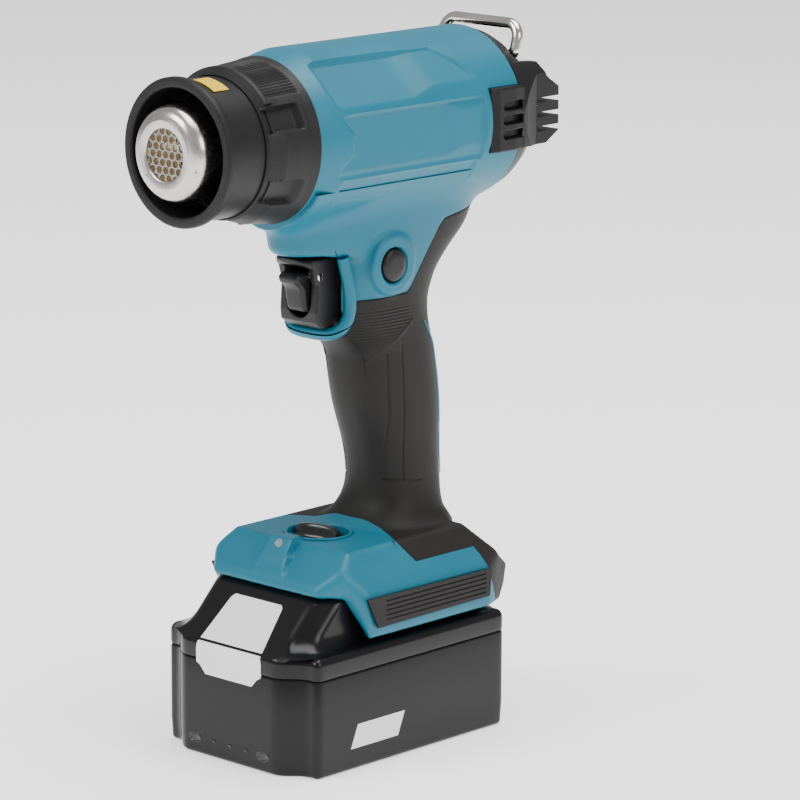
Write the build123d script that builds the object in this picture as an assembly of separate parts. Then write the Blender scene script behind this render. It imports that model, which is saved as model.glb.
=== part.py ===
from build123d import *
import os
from math import copysign, cos, pi, sin, sqrt

# A cordless heat gun: pistol grip, round barrel, slide-on battery. Millimetres, +Z up, the nozzle points
# to -Y, +X is the tool's left side. The origin is the centre of the battery's flat base, on which it stands.

os.makedirs("parts", exist_ok=True)

# --- battery ---------------------------------------------------------------------------------------------
BATTERY_WIDTH = 75.0        # across X
BATTERY_LENGTH = 97.5       # along Y, without the front block
CASE_SEAM = 35.5            # height of the joint between the two case halves
SHOULDER = 43.5             # height of the flat shoulders beside the rail block
RAIL_BLOCK_HEIGHT = 17.0    # rail block above the shoulders
CASE_WALL = 2.2
BLOCK_WIDTH = 60.0          # rail block across X
NOSE_WIDTH = 48.0           # front block across X
NOSE_DEPTH = 6.5            # front block ahead of the cheeks
SLOPE_RUN = 18.8            # sloped front of the rail block, along Y
GROOVE_DEPTH = 3.0
GROOVE_HEIGHT = 4.0
CELL_R = 9.1
CELL_LENGTH = 64.5
CELL_GAP = 0.3
WINDOW_WIDTH = 31.0
WINDOW_BASE = 30.5          # lower edge of the window of the release button
RUN_GAP = 0.4               # clearance between sliding bodies

# --- tool ------------------------------------------------------------------------------------------------
FOOT_HEIGHT = 30.7          # foot, from its skirt to its top
SKIRT_GAP = 2.3             # skirt above the battery's shoulders
FOOT_OVERLAP = 0.8          # foot wider than the battery on each side
GRIP_LENGTH = 112.8         # from the foot's top to the barrel's underside
BARREL_R = 31.2
BARREL_FRONT = -38.0
BARREL_REAR = 63.0
WALL = 2.4
OVERMOLD = 1.6
GRIP_WALL = 4.0             # overmould and shell together
SNOUT_LENGTH = 19.0
SNOUT_R = 24.6
RING_R = 29.2
GUARD_LENGTH = 22.0         # heat guard ahead of the snout
NOZZLE_R = 16.6
NOZZLE_REACH = 47.0         # nozzle ahead of the barrel's front
MESH_R = 9.0
COVER_DEPTH = 20.0          # rear cover behind the barrel
COVER_GAP = 0.3
TRIGGER_WIDTH = 18.6
BUTTON_R = 6.0
LEVER_PIN_R = 1.5
DIAL_R = 9.6
HOOK_WIRE_R = 2.1
HOOK_SPAN = 36.0
HOOK_HEIGHT = 11.0
FAN_R = 24.0
MOTOR_R = 14.0
SHAFT_R = 1.5
SCREW_R = 1.5
SCREW_HEAD_R = 3.1
PIN_FIT = 0.05              # radial clearance of a pin in its hole

# --- levels and places that follow ----------------------------------------------------------------------
BLOCK_TOP = SHOULDER + RAIL_BLOCK_HEIGHT
SKIRT = SHOULDER + SKIRT_GAP
FOOT_TOP = SKIRT + FOOT_HEIGHT
UNDER = FOOT_TOP + GRIP_LENGTH          # the barrel's underside
BARREL_Z = UNDER + BARREL_R
CEILING = BLOCK_TOP + RUN_GAP           # of the foot's battery bay
CASE_FRONT = -BATTERY_LENGTH / 2
CASE_REAR = BATTERY_LENGTH / 2
NOSE_FRONT = CASE_FRONT - NOSE_DEPTH
FOOT_HALF = BATTERY_WIDTH / 2 + FOOT_OVERLAP
BLOCK_HALF = BLOCK_WIDTH / 2
BLOCK_REAR = CASE_REAR - 5.0
NOZZLE_FRONT = BARREL_FRONT - NOZZLE_REACH
SNOUT_FRONT = BARREL_FRONT - SNOUT_LENGTH
AXIS = Axis((0, 0, BARREL_Z), (0, 1, 0))
SWITCH_Z = UNDER - 25.0
SWITCH_FRONT = 12.0
SWITCH_DEPTH = 17.0
SWITCH_WIDTH = 17.0
PLUNGER_R = 2.5
LEVER_PIN = (-18.4, UNDER - 18.3)
LOCK_BUTTON = (8.1, UNDER - 16.3)
DIAL_Y = -10.0
HOOK_PIVOT = (BARREL_REAR + 9.0, BARREL_Z + 20.5)
EPS = 0.01


# --- shapes ----------------------------------------------------------------------------------------------
def block(x0, x1, y0, y1, z0, z1):
    return Pos((x0 + x1) / 2, (y0 + y1) / 2, (z0 + z1) / 2) * Box(x1 - x0, y1 - y0, z1 - z0)


def rod_x(y, z, r, x0, x1):
    return Pos((x0 + x1) / 2, y, z) * Rot(0, 90, 0) * Cylinder(r, x1 - x0)


def rod_y(x, z, r, y0, y1):
    return Pos(x, (y0 + y1) / 2, z) * Rot(90, 0, 0) * Cylinder(r, y1 - y0)


def rod_z(x, y, r, z0, z1):
    return Pos(x, y, (z0 + z1) / 2) * Cylinder(r, z1 - z0)


def outline(points, radius=0.0):
    face = make_face(Polyline(*points, close=True))
    return fillet(face.vertices(), radius) if radius else face


def side_prism(face, x0, x1):
    """A face drawn in (y, z), extruded from x0 to x1."""
    return extrude(Plane.YZ.offset(x0) * face, x1 - x0)


def plan_prism(face, z0, z1):
    return extrude(Pos(0, 0, z0) * face, z1 - z0)


def front_prism(face, y0, y1):
    """A face drawn in (x, z), extruded from y0 to y1."""
    return extrude(Plane.XZ.offset(-y1) * face, y1 - y0)


def nosed_plan(half, front, rear, radius):
    """A rectangle seen from above with its two front corners rounded."""
    face = outline([(-half, front), (half, front), (half, rear), (-half, rear)])
    return fillet(face.vertices().group_by(Axis.Y)[0], radius)


def turned(points):
    """A closed outline in (radius, y), turned about the barrel's axis."""
    return revolve(Pos(0, 0, BARREL_Z) * make_face(Polyline(*points, close=True)), AXIS)


def pipe_y(r_out, r_in, y0, y1):
    return turned([(r_in, y0), (r_out, y0), (r_out, y1), (r_in, y1)])


def around_barrel(shape, angle):
    """Turn a shape about the barrel's axis by an angle in degrees."""
    return Pos(0, 0, BARREL_Z) * Rot(0, angle, 0) * Pos(0, 0, -BARREL_Z) * shape


def left_half(shape):
    return shape & block(0, 200, -200, 200, -10, 400)


def right_half(shape):
    return shape & block(-200, 0, -200, 200, -10, 400)


def mirrored(shape):
    return mirror(shape, Plane.YZ)


def helix_wire(radius, wire_r, length, turns):
    """A coil spring along +Z from z = 0, the wire's ends left square."""
    path = Helix(pitch=length / turns, height=length, radius=radius)
    section = Plane(origin=path @ 0, z_dir=path % 0) * Circle(wire_r)
    return sweep(section, path=path)


def write(name, shape):
    export_step(shape, os.path.join("parts", name + ".step"))


def group(*shapes):
    return Compound(children=[solid for shape in shapes for solid in shape.solids()])


# --- grip and foot surfaces ------------------------------------------------------------------------------
def superellipse(z, centre_y, half_y, half_x, power=2.5, steps=28):
    """A rounded oval |x/a|^p + |y/b|^p = 1 at height z."""
    points = []
    for i in range(steps):
        c, s = cos(2 * pi * i / steps), sin(2 * pi * i / steps)
        x = half_x * copysign(abs(c) ** (2 / power), c)
        y = centre_y + half_y * copysign(abs(s) ** (2 / power), s)
        points.append((x, y, z))
    return make_face(Spline(*points, periodic=True))


# front, rear and half width of the grip, at heights above the foot's top or below the barrel's underside
GRIP_FROM_FOOT = [
    (-2, 1.0, 49.0, 23.0),
    (1, 5.0, 45.5, 19.8),
    (6, 10.2, 44.4, 17.2),
    (13, 12.4, 44.4, 15.9),
    (20, 12.0, 43.9, 15.8),
    (28, 10.2, 43.8, 15.9),
    (36, 7.2, 44.0, 16.2),
    (44, 4.4, 44.0, 16.4),
    (52, 2.7, 43.0, 16.5),
]
GRIP_FROM_BARREL = [
    (49, 1.5, 40.5, 16.6),
    (42.5, -3.0, 39.0, 16.8),
    (38, -12.5, 38.5, 17.0),
    (31, -14.5, 38.4, 17.3),
    (22, -14.5, 42.0, 18.0),
    (14, -13.5, 49.6, 18.6),
    (8, -13.0, 57.0, 19.3),
    (2, -13.0, 60.5, 20.0),
    (-10, -13.0, 61.5, 21.5),
]


def grip_loft(inset):
    rows = [(FOOT_TOP + rise, front, rear, half) for rise, front, rear, half in GRIP_FROM_FOOT]
    rows += [(UNDER - drop, front, rear, half) for drop, front, rear, half in GRIP_FROM_BARREL]
    faces = []
    for z, front, rear, half in rows:
        faces.append(superellipse(z, (front + rear) / 2, (rear - front) / 2 - inset, half - inset))
    return loft(faces)


def foot_solid(inset):
    """The foot's outside, pushed in by inset: where its plan, side and front outlines meet."""
    top = FOOT_TOP
    plan = outline([(-FOOT_HALF, -23), (-FOOT_HALF + 13, -38), (FOOT_HALF - 13, -38), (FOOT_HALF, -23),
                    (FOOT_HALF, 40), (FOOT_HALF - 8, 58), (-FOOT_HALF + 8, 58), (-FOOT_HALF, 40)], 5)
    side = outline([(-38, SKIRT + 15), (-38, top - 13), (-24, top), (36, top), (44, top - 8),
                    (50, SKIRT + 17), (57.5, SKIRT + 12), (55, SKIRT + 5), (50, SKIRT), (-21.5, SKIRT),
                    (-26, SKIRT + 8), (-29, SKIRT + 14)], 1.5)
    front = outline([(-FOOT_HALF, SKIRT), (-FOOT_HALF, SKIRT + 15), (-33, top - 8), (-27.5, top), (27.5, top),
                     (33, top - 8), (FOOT_HALF, SKIRT + 15), (FOOT_HALF, SKIRT)])
    if inset:
        plan, side, front = offset(plan, -inset), offset(side, -inset), offset(front, -inset)
    solid = plan_prism(plan, SKIRT - 1, top + 1)
    solid = solid & side_prism(side, -FOOT_HALF - 1, FOOT_HALF + 1)
    return solid & front_prism(front, -60, 80)


def bridge_solid(inset):
    """The bow-shaped neck that carries the barrel over the trigger."""
    rows = [(UNDER - 11.3 + inset, 28.8, 15.2), (UNDER - 8.6, 31.4, 15.8), (UNDER - 2, 32.6, 16.3),
            (UNDER + 4, 34.6, 16.8), (UNDER + 14, 36.0, 17.0)]
    return loft([superellipse(z, 0, half_y - inset, half_x - inset, power=2.0) for z, half_y, half_x in rows])


def barrel_solid(inset):
    front = BARREL_FRONT + inset
    return turned([(0, front), (BARREL_R - 2.6 - inset, front), (BARREL_R - 1.2 - inset, BARREL_FRONT + 9),
                   (BARREL_R - inset, BARREL_FRONT + 19),
                   (BARREL_R - inset, BARREL_REAR - 3), (BARREL_R - 0.6 - inset, BARREL_REAR),
                   (0, BARREL_REAR)])


# --- the black overmould ---------------------------------------------------------------------------------
def grip_zone():
    """Side outline of what the soft overmould covers."""
    edge = outline([(-60, UNDER - 41), (-16, UNDER - 38), (-10, UNDER - 33), (-7, UNDER - 27.7),
                    (17, UNDER - 27.3), (23.9, UNDER - 17.6), (33, UNDER - 3), (66, UNDER + 0.5),
                    (110, UNDER + 0.5), (110, SKIRT + 11), (44, SKIRT + 13), (39, SKIRT + 15.3),
                    (36, FOOT_TOP - 8.2), (4.6, FOOT_TOP - 8.2), (2.4, FOOT_TOP + 1), (-60, FOOT_TOP + 1)])
    return side_prism(edge, -60, 60)


def grip_skin():
    inner_grip = grip_loft(OVERMOLD)
    inner_foot = foot_solid(OVERMOLD)
    outer = (grip_loft(0) + foot_solid(0)) - inner_grip - inner_foot - foot_bay()
    skin = (outer & grip_zone()) - barrel_solid(0) - trigger_pocket()
    for y, z, seat in SCREWS:
        skin -= rod_x(y, z, SCREW_HEAD_R + HEAD_GAP, -60, -seat + 2.2)
    return skin


def foot_bay():
    """The room that the battery slides into, open at the front and below."""
    bay = block(-BLOCK_HALF - RUN_GAP, BLOCK_HALF + RUN_GAP, -80, BLOCK_REAR + 0.6, 0, CEILING)
    rail = GROOVE_DEPTH - RUN_GAP
    z0 = CEILING - 10.2 + RUN_GAP
    z1 = z0 + GROOVE_HEIGHT - 2 * RUN_GAP
    for side in (-1, 1):
        edge = side * (BLOCK_HALF + RUN_GAP + 1)
        inner = side * (BLOCK_HALF - rail)
        bay -= block(min(edge, inner), max(edge, inner), -18, BLOCK_REAR, z0, z1)
    return bay


# --- housing ---------------------------------------------------------------------------------------------
SCREWS = [                      # y, z, depth of the head's seat from the middle plane
    (-22.0, UNDER - 3.0, 9.0),
    (38.0, UNDER - 7.0, 16.5),
    (32.0, UNDER - 47.5, 10.5),
    (34.0, FOOT_TOP + 27.0, 9.5),
    (-26.0, FOOT_TOP - 9.6, 22.0),
    (49.0, SKIRT + 12.0, 24.0),
]
BOSS_R = 3.9
HEAD_GAP = 0.4


def screw_bosses():
    return [rod_x(y, z, BOSS_R, -seat, seat) for y, z, seat in SCREWS]


def housing():
    outside = barrel_solid(0) + grip_loft(0) + bridge_solid(0) + foot_solid(0)
    outside += pipe_y(SNOUT_R, 5, SNOUT_FRONT, BARREL_FRONT + 1)
    outside += led_pod()
    outside += rod_x(*LOCK_BUTTON, BUTTON_R + 3.5, 12, 19.6)
    inside = barrel_solid(WALL) + grip_loft(GRIP_WALL) + bridge_solid(WALL)
    snout_bore = SNOUT_R - 2.2
    inside += turned([(0, SNOUT_FRONT - 1), (snout_bore, SNOUT_FRONT - 1), (snout_bore, BARREL_FRONT + 4),
                      (0, BARREL_FRONT + 4)])
    inside += rod_y(0, BARREL_Z, BARREL_R - WALL, BARREL_REAR - 10, BARREL_REAR + 1)
    inside += foot_solid(WALL) & block(-60, 60, -60, 60, CEILING + WALL, FOOT_TOP)
    inside += block(-9, 9, 20, 37, FOOT_TOP - 6, FOOT_TOP + 6)
    shell = outside - inside - foot_bay()
    for boss in screw_bosses():
        shell += boss
    shell -= grip_skin_cutter()
    shell -= trigger_pocket() + button_hole() + dial_recess() + terminal_opening() + grille_holes()
    shell -= led_hole()
    for y, z, seat in SCREWS:
        shell -= rod_x(y, z, SCREW_R + 0.2, -seat - 1, 0)
        shell -= rod_x(y, z, SCREW_R, -1, seat - 2.5)
        shell -= rod_x(y, z, SCREW_HEAD_R + HEAD_GAP, -60, -seat + 2.2)
    return shell


def grip_skin_cutter():
    inner = grip_loft(OVERMOLD) + foot_solid(OVERMOLD)
    return (grip_zone() - inner) - barrel_solid(0) - bridge_keep()


def bridge_keep():
    return block(-60, 60, -60, 0, UNDER - 12, UNDER + 20)


def trigger_pocket():
    half = TRIGGER_WIDTH / 2 + 0.6
    return block(-half, half, -60, 8, UNDER - 37.8, UNDER - 11.6)


def button_hole():
    y, z = LOCK_BUTTON
    return rod_x(y, z, BUTTON_R + 0.3, 5, 40) + rod_x(y, z, BUTTON_R + 2.0, 5, 16)


def dial_recess():
    shaft = rod_z(0, DIAL_Y, 3.3, CEILING + WALL + 1, FOOT_TOP + 1)
    return rod_z(0, DIAL_Y, DIAL_R + 1.2, FOOT_TOP - 5, FOOT_TOP + 5) + shaft


def terminal_opening():
    return block(-20.3, 20.3, 9.7, 38.3, CEILING - 1, CEILING + WALL + 1)


def grille_box(gap):
    z0, z1 = BARREL_Z - 10.9 - gap, BARREL_Z + 12.3 + gap
    return block(BARREL_R - 4.2 - gap, BARREL_R + 0.4 + gap, BARREL_REAR - 16.6 - gap, BARREL_REAR + gap,
                 z0, z1)


def grille_holes():
    hole = grille_box(EPS)
    return hole + mirrored(hole)


def led_pod():
    top = FOOT_TOP
    face = outline([(-34.0, top - 10), (-31.0, top - 4), (-29.4, top + 0.9), (-25, top + 0.9), (-22, top),
                    (-22, top - 10)])
    return side_prism(face, -5.5, 5.5)


LED_PLANE = Plane(origin=(0, -30.0, FOOT_TOP - 1.0), z_dir=(0, -1, 0.35))


def led_hole():
    return LED_PLANE * Pos(0, 0, -1) * Cylinder(2.0, 12)


def led_lens():
    lens = LED_PLANE * Pos(0, 0, -2.8) * Cylinder(1.9, 5)
    return lens + LED_PLANE * Pos(0, 0, -0.5) * Sphere(1.8)


def led_board():
    return block(-4.5, 4.5, -25, -21, FOOT_TOP - 5.5, FOOT_TOP - 4.5)


def side_grille():
    """Black air grille let into the barrel's side: three grooves run back from its bevelled front edge."""
    body = grille_box(0)
    body = chamfer(body.edges().filter_by(Axis.Z).group_by(Axis.Y)[0].group_by(Axis.X)[-1], 3.2)
    for i in range(3):
        z = BARREL_Z + 5.5 - i * 5.15
        body -= block(BARREL_R - 1.6, BARREL_R + 2, BARREL_REAR - 12, BARREL_REAR + 1, z - 1.5, z + 1.5)
        body -= block(0, BARREL_R + 2, BARREL_REAR - 9, BARREL_REAR - 3, z - 1.0, z + 1.0)
    return body


def base_pad():
    """Ribbed pad on the side of the foot."""
    face = outline([(-25.3, SKIRT + 15.3), (-19.8, SKIRT + 4.2), (38.3, SKIRT + 4.8), (39.2, SKIRT + 14.8)])
    pad = side_prism(face, FOOT_HALF, FOOT_HALF + 1.0)
    for i in range(5):
        z = SKIRT + 6.6 + i * 1.7
        pad -= block(FOOT_HALF + 0.6, FOOT_HALF + 2, -16, 36, z - 0.3, z + 0.3)
    return pad


# --- rear cover and hook ---------------------------------------------------------------------------------
COVER_FRONT = BARREL_REAR + COVER_GAP
DOME = [(0.98, 0.0), (0.945, 0.22), (0.86, 0.48), (0.72, 0.7), (0.5, 0.86), (0.0, 0.93)]


def dome(inset):
    """The cover's domed back, in shares of the barrel's radius and of the cover's depth."""
    points = [(0, COVER_FRONT - (1 if inset else 0))]
    if inset:
        points.append((BARREL_R * DOME[0][0] - inset, COVER_FRONT - 1))
    for share_r, share_y in DOME:
        r = max(BARREL_R * share_r - inset, 0)
        points.append((r, COVER_FRONT + share_y * COVER_DEPTH - (inset if share_y > 0.5 else 0)))
    return turned(points)


def cover_lug(side):
    """Finned foot on each flank of the cover, which lets the tool stand nozzle up."""
    y, z = BARREL_REAR, BARREL_Z
    face = outline([(COVER_FRONT, z - 11), (COVER_FRONT, z + 19.5), (y + 14, z + 18.6), (y + 17, z + 13.5),
                    (y + 19, z + 12), (y + 24, z + 9), (y + 24, z - 7), (y + 17, z - 11)])
    lug = side_prism(face, *sorted((side * 13.5, side * 31.4)))
    plan = outline([(side * 13, COVER_FRONT - 1), (side * 31, COVER_FRONT - 1), (side * 30, COVER_FRONT + 3),
                    (side * 27, COVER_FRONT + 11), (side * 26, 100), (side * 13, 100)])
    lug = lug & plan_prism(plan, 100, 400) & rod_y(0, BARREL_Z, BARREL_R - 0.6, 0, 200)
    for i in range(3):
        z = BARREL_Z + 4.75 - i * 5.2
        lug -= block(-60, 60, COVER_FRONT + 11.5, 200, z - 0.95, z + 0.95)
    return lug


def rear_cover():
    lugs = cover_lug(1) + cover_lug(-1)
    body = dome(0) + lugs
    body -= dome(WALL)
    for i in range(7):
        z = BARREL_Z - 15 + i * 5.0
        body -= block(-10, 10, COVER_FRONT + 9, 200, z - 1.1, z + 1.1)
    y, z = HOOK_PIVOT
    half = HOOK_SPAN / 2
    for side in (-1, 1):
        body += rod_x(y, z, 3.6, *sorted((side * (half - 8), side * (half - 3.2)))) & dome(0)
    for side in (-1, 1):
        x0, x1 = sorted((side * (half - 2.7), side * (half + 2.7)))
        body -= block(x0, x1, y - 3.0, y + 30, z - 3.0, z + 30)
        body -= rod_x(y, z, HOOK_WIRE_R + PIN_FIT, *sorted((side * (half - 9), side * half)))
    body -= block(-half - 2.7, half + 2.7, y - 1, y + 30, z - 1.6, z + 30)
    return body


def hook():
    """Steel wire bail: two legs, a top bar, and ends turned inwards as pivots."""
    y, z = HOOK_PIVOT
    half = HOOK_SPAN / 2
    lean = 3.0
    path = FilletPolyline((-half + 7.6, y, z), (-half, y, z), (-half, y + lean, z + HOOK_HEIGHT),
                          (half, y + lean, z + HOOK_HEIGHT), (half, y, z), (half - 7.6, y, z),
                          radius=[2.6, 5.5, 5.5, 2.6])
    section = Plane(origin=path @ 0, z_dir=path % 0) * Circle(HOOK_WIRE_R)
    return sweep(section, path=path)


# --- nose ------------------------------------------------------------------------------------------------
RING_FRONT = SNOUT_FRONT - 3.5
RING_BORE = SNOUT_R + 0.3


def lock_ring():
    """Castellated collar that turns on the snout and holds the nose cover."""
    ring = turned([(RING_BORE, RING_FRONT), (RING_BORE + 0.8, RING_FRONT), (RING_R - 1.8, RING_FRONT + 2.5),
                   (RING_R, BARREL_FRONT - 6), (RING_R, BARREL_FRONT - 0.4), (RING_BORE, BARREL_FRONT - 0.4)])
    for i in range(6):
        notch = block(-4, 4, RING_FRONT + 7, RING_FRONT + 14, BARREL_Z + RING_R - 1.4, BARREL_Z + RING_R + 3)
        ring -= around_barrel(notch, 22 + 60 * i)
    return ring


def nose_cover():
    """Heat guard: a sleeve with a flared rim, plugged into the lock ring."""
    front = SNOUT_FRONT - GUARD_LENGTH
    rear = SNOUT_FRONT - 0.6
    return turned([(22.1, front), (25.6, front), (25.9, front + 2.5), (24.2, front + 4.0),
                   (SNOUT_R - 0.1, rear), (SNOUT_R - 2.2, rear)])


def nose_label():
    """Plain warning patch on the guard's upper side."""
    patch = pipe_y(SNOUT_R + 0.15, SNOUT_R - 0.1, SNOUT_FRONT - 15.5, SNOUT_FRONT - 8.5)
    wedge = make_face(Polyline((0, 0), (3, 40), (22, 40), close=True))
    return patch & (Pos(0, 0, BARREL_Z) * front_prism(wedge, -90, -50))


def nozzle_tube():
    front = NOZZLE_FRONT
    rear = BARREL_FRONT + 18
    return turned([(MESH_R, front), (NOZZLE_R - 3.6, front), (NOZZLE_R - 1.2, front + 1.6),
                   (NOZZLE_R, front + 5), (NOZZLE_R, rear), (NOZZLE_R - 0.8, rear),
                   (NOZZLE_R - 0.8, front + 5.2), (NOZZLE_R - 1.9, front + 2.2),
                   (NOZZLE_R - 3.8, front + 1.0), (MESH_R, front + 1.0)])


def nozzle_mesh():
    """Perforated disc behind the mouth: round holes on a hexagonal pitch."""
    disc = rod_y(0, BARREL_Z, MESH_R + 2, NOZZLE_FRONT + 1.05, NOZZLE_FRONT + 1.85)
    pitch, hole_r = 3.1, 1.25
    for row in range(-3, 4):
        for col in range(-3, 4):
            x = (col + 0.5 * (row % 2)) * pitch
            z = row * pitch * sqrt(3) / 2
            if x * x + z * z < (MESH_R - hole_r) ** 2:
                disc -= rod_y(x, BARREL_Z + z, hole_r, NOZZLE_FRONT, NOZZLE_FRONT + 4)
    return disc


def nozzle_flange():
    """Steel ring that centres the nozzle tube in the snout."""
    y = SNOUT_FRONT + 9
    return pipe_y(SNOUT_R - 2.2, NOZZLE_R, y, y + 1.5)


def mica_tube():
    return pipe_y(NOZZLE_R - 0.9, NOZZLE_R - 1.5, NOZZLE_FRONT + 8, BARREL_FRONT + 16)


def heater_former():
    """Crossed ceramic boards that carry the coil."""
    reach = NOZZLE_R - 1.7
    y0, y1 = NOZZLE_FRONT + 14, BARREL_FRONT + 14
    return block(-reach, reach, y0, y1, BARREL_Z - 0.6, BARREL_Z + 0.6) + \
        block(-0.6, 0.6, y0, y1, BARREL_Z - reach, BARREL_Z + reach) - coil_grooves()


COIL_R = 11.5
COIL_TURNS = 9
COIL_LENGTH = 36.0


def coil_grooves():
    """Room for the coil's wire in the boards: a thin sleeve the coil passes through."""
    y0 = NOZZLE_FRONT + 17
    return pipe_y(COIL_R + 0.9, COIL_R - 0.9, y0 - 1, y0 + COIL_LENGTH + 1)


def heater_coil():
    coil = helix_wire(COIL_R, 0.6, COIL_LENGTH, COIL_TURNS)
    return Pos(0, NOZZLE_FRONT + 17 + COIL_LENGTH, BARREL_Z) * Rot(90, 0, 0) * coil


# --- fan and motor ---------------------------------------------------------------------------------------
DUCT_REAR = -2.0
FAN_Y = 2.0


def air_duct():
    """Funnel from the fan down to the nozzle tube."""
    r_big = BARREL_R - WALL - 1.0
    r_small = NOZZLE_R + 1.4
    y1 = BARREL_FRONT + 18
    return turned([(r_big, DUCT_REAR), (r_small, y1), (r_small, y1 - 6), (NOZZLE_R + 0.1, y1 - 6),
                   (NOZZLE_R + 0.1, y1 + 0.4), (r_big - 1.4, DUCT_REAR)])


def fan():
    """Axial fan: a hub with nine pitched blades."""
    hub = pipe_y(7, SHAFT_R, FAN_Y, FAN_Y + 9)
    for i in range(9):
        blade = Pos(0, FAN_Y + 4.5, BARREL_Z + (FAN_R + 6) / 2) * Rot(0, 0, 35) * Box(9.5, 1.2, FAN_R - 6)
        hub += around_barrel(blade, 40 * i)
    return hub & pipe_y(FAN_R, SHAFT_R, FAN_Y - 1, FAN_Y + 10)


def motor_shaft():
    return rod_y(0, BARREL_Z, SHAFT_R, FAN_Y - 1, 57)


def motor_can():
    can = rod_y(0, BARREL_Z, MOTOR_R, 18, 54)
    return can - rod_y(0, BARREL_Z, SHAFT_R + PIN_FIT, 0, 80)


def motor_mount():
    """Spider that holds the motor in the barrel, with air gaps between its arms."""
    outer = BARREL_R - WALL
    ring = pipe_y(outer, outer - 2, 26, 38) + pipe_y(MOTOR_R + 1.8, MOTOR_R + PIN_FIT, 26, 38)
    for i in range(6):
        arm = block(-1, 1, 26, 38, BARREL_Z + MOTOR_R + 0.5, BARREL_Z + outer - 1)
        ring += around_barrel(arm, 30 + 60 * i)
    return ring


# --- trigger group ---------------------------------------------------------------------------------------
LEVER_HALF = 4.9


def trigger():
    half = TRIGGER_WIDTH / 2
    face = outline([(-24.6, UNDER - 12.4), (-23.9, UNDER - 14.0), (-20.4, UNDER - 16.0), (-19.4, UNDER - 22),
                    (-20.0, UNDER - 31), (-19.4, UNDER - 35.0), (-16.8, UNDER - 37.2), (0, UNDER - 37.2),
                    (0, UNDER - 12.4)])
    body = side_prism(face, -half, half)
    body = body & plan_prism(nosed_plan(half, -24.6, 5, 3.0), 0, 400)
    body -= block(-LEVER_HALF - 0.4, LEVER_HALF + 0.4, -40, -8, UNDER - 33, UNDER - 16.4)
    body -= block(-half + 1.8, half - 1.8, -6, 1, UNDER - 35.2, UNDER - 14.4)
    return body - rod_x(*LEVER_PIN, LEVER_PIN_R, -half - 1, half + 1)


def lever_pin():
    return rod_x(*LEVER_PIN, LEVER_PIN_R, -TRIGGER_WIDTH / 2, TRIGGER_WIDTH / 2)


def lock_off_lever():
    """Small rocker in the trigger's face: its nose is pulled before the trigger moves."""
    face = outline([(-25.6, UNDER - 17.2), (-26.0, UNDER - 19.0), (-22.4, UNDER - 22.2), (-21.4, UNDER - 26),
                    (-20.6, UNDER - 30.6), (-17.0, UNDER - 31.4), (-14.8, UNDER - 25), (-14.8, UNDER - 19.0),
                    (-17.0, UNDER - 16.9)])
    lever = side_prism(face, -LEVER_HALF, LEVER_HALF)
    return lever - rod_x(*LEVER_PIN, LEVER_PIN_R + PIN_FIT, -10, 10)


def switch_plunger():
    plate = block(-7.4, 7.4, -2, 1.5, SWITCH_Z - 5, SWITCH_Z + 5)
    return plate + rod_y(0, SWITCH_Z, PLUNGER_R, 1.4, SWITCH_FRONT + 5)


def trigger_spring():
    coil = helix_wire(4.2, 0.45, SWITCH_FRONT - 2.8, 6)
    return Pos(0, SWITCH_FRONT - 0.6, SWITCH_Z) * Rot(90, 0, 0) * coil


def switch_module():
    half = SWITCH_WIDTH / 2
    body = block(-half, half, SWITCH_FRONT, SWITCH_FRONT + SWITCH_DEPTH, SWITCH_Z - 13, SWITCH_Z + 12)
    body = chamfer(body.edges(), 0.8)
    return body - rod_y(0, SWITCH_Z, PLUNGER_R + 2 * PIN_FIT, SWITCH_FRONT - 1, SWITCH_FRONT + 14)


def lock_button():
    y, z = LOCK_BUTTON
    cap = rod_x(y, z, BUTTON_R, 13.5, 20.6)
    cap = fillet(cap.edges().group_by(Axis.X)[-1], 1.0)
    return cap + rod_x(y, z, BUTTON_R + 1.6, 13.5, 15.2)


def lock_button_spring():
    y, z = LOCK_BUTTON
    coil = helix_wire(3.0, 0.35, 3.4, 4)
    return Pos(9.5, y, z) * Rot(0, 90, 0) * coil


# --- dial and electronics --------------------------------------------------------------------------------
def dial():
    """Temperature wheel: a recessed disc with a finger ridge across it."""
    disc = rod_z(0, DIAL_Y, DIAL_R, FOOT_TOP - 4.4, FOOT_TOP - 0.8)
    ridge = block(-DIAL_R + 1, DIAL_R - 1, DIAL_Y - 1.8, DIAL_Y + 1.8, FOOT_TOP - 1, FOOT_TOP + 2.6)
    ridge = fillet(ridge.edges().filter_by(Axis.X).group_by(Axis.Z)[-1], 1.4)
    disc += ridge & rod_z(0, DIAL_Y, DIAL_R, 0, 400)
    return disc + rod_z(0, DIAL_Y, 3.0, FOOT_TOP - 7.4, FOOT_TOP - 4.2)


def dial_sensor():
    """The control that the dial's stub turns in."""
    return block(-7, 7, DIAL_Y - 7, DIAL_Y + 7, CEILING + WALL, FOOT_TOP - 7.8)


def control_board():
    board = block(-22, 22, 2.5, 19, FOOT_TOP - 6.6, FOOT_TOP - 5.0)
    for x, y, size in ((-13, 10, 6), (0, 12, 5), (12, 9, 7), (5, 6, 4), (-6, 6, 4)):
        board += block(x - size / 2, x + size / 2, y - size / 2, y + size / 2, FOOT_TOP - 5.1, FOOT_TOP - 3.8)
    return board


BLADE_X = 15.0


def terminal_block():
    body = block(-20, 20, 10, 38, CEILING, CEILING + WALL + 1.2)
    for side in (-1, 1):
        body -= block(side * BLADE_X - 0.4, side * BLADE_X + 0.4, 20, 36, CEILING - 1, CEILING + WALL)
    return body


def terminal_blades():
    blade = block(BLADE_X - 0.4, BLADE_X + 0.4, 20, 36, BLOCK_TOP - 4.6, CEILING + WALL)
    return group(blade, mirrored(blade))


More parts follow.
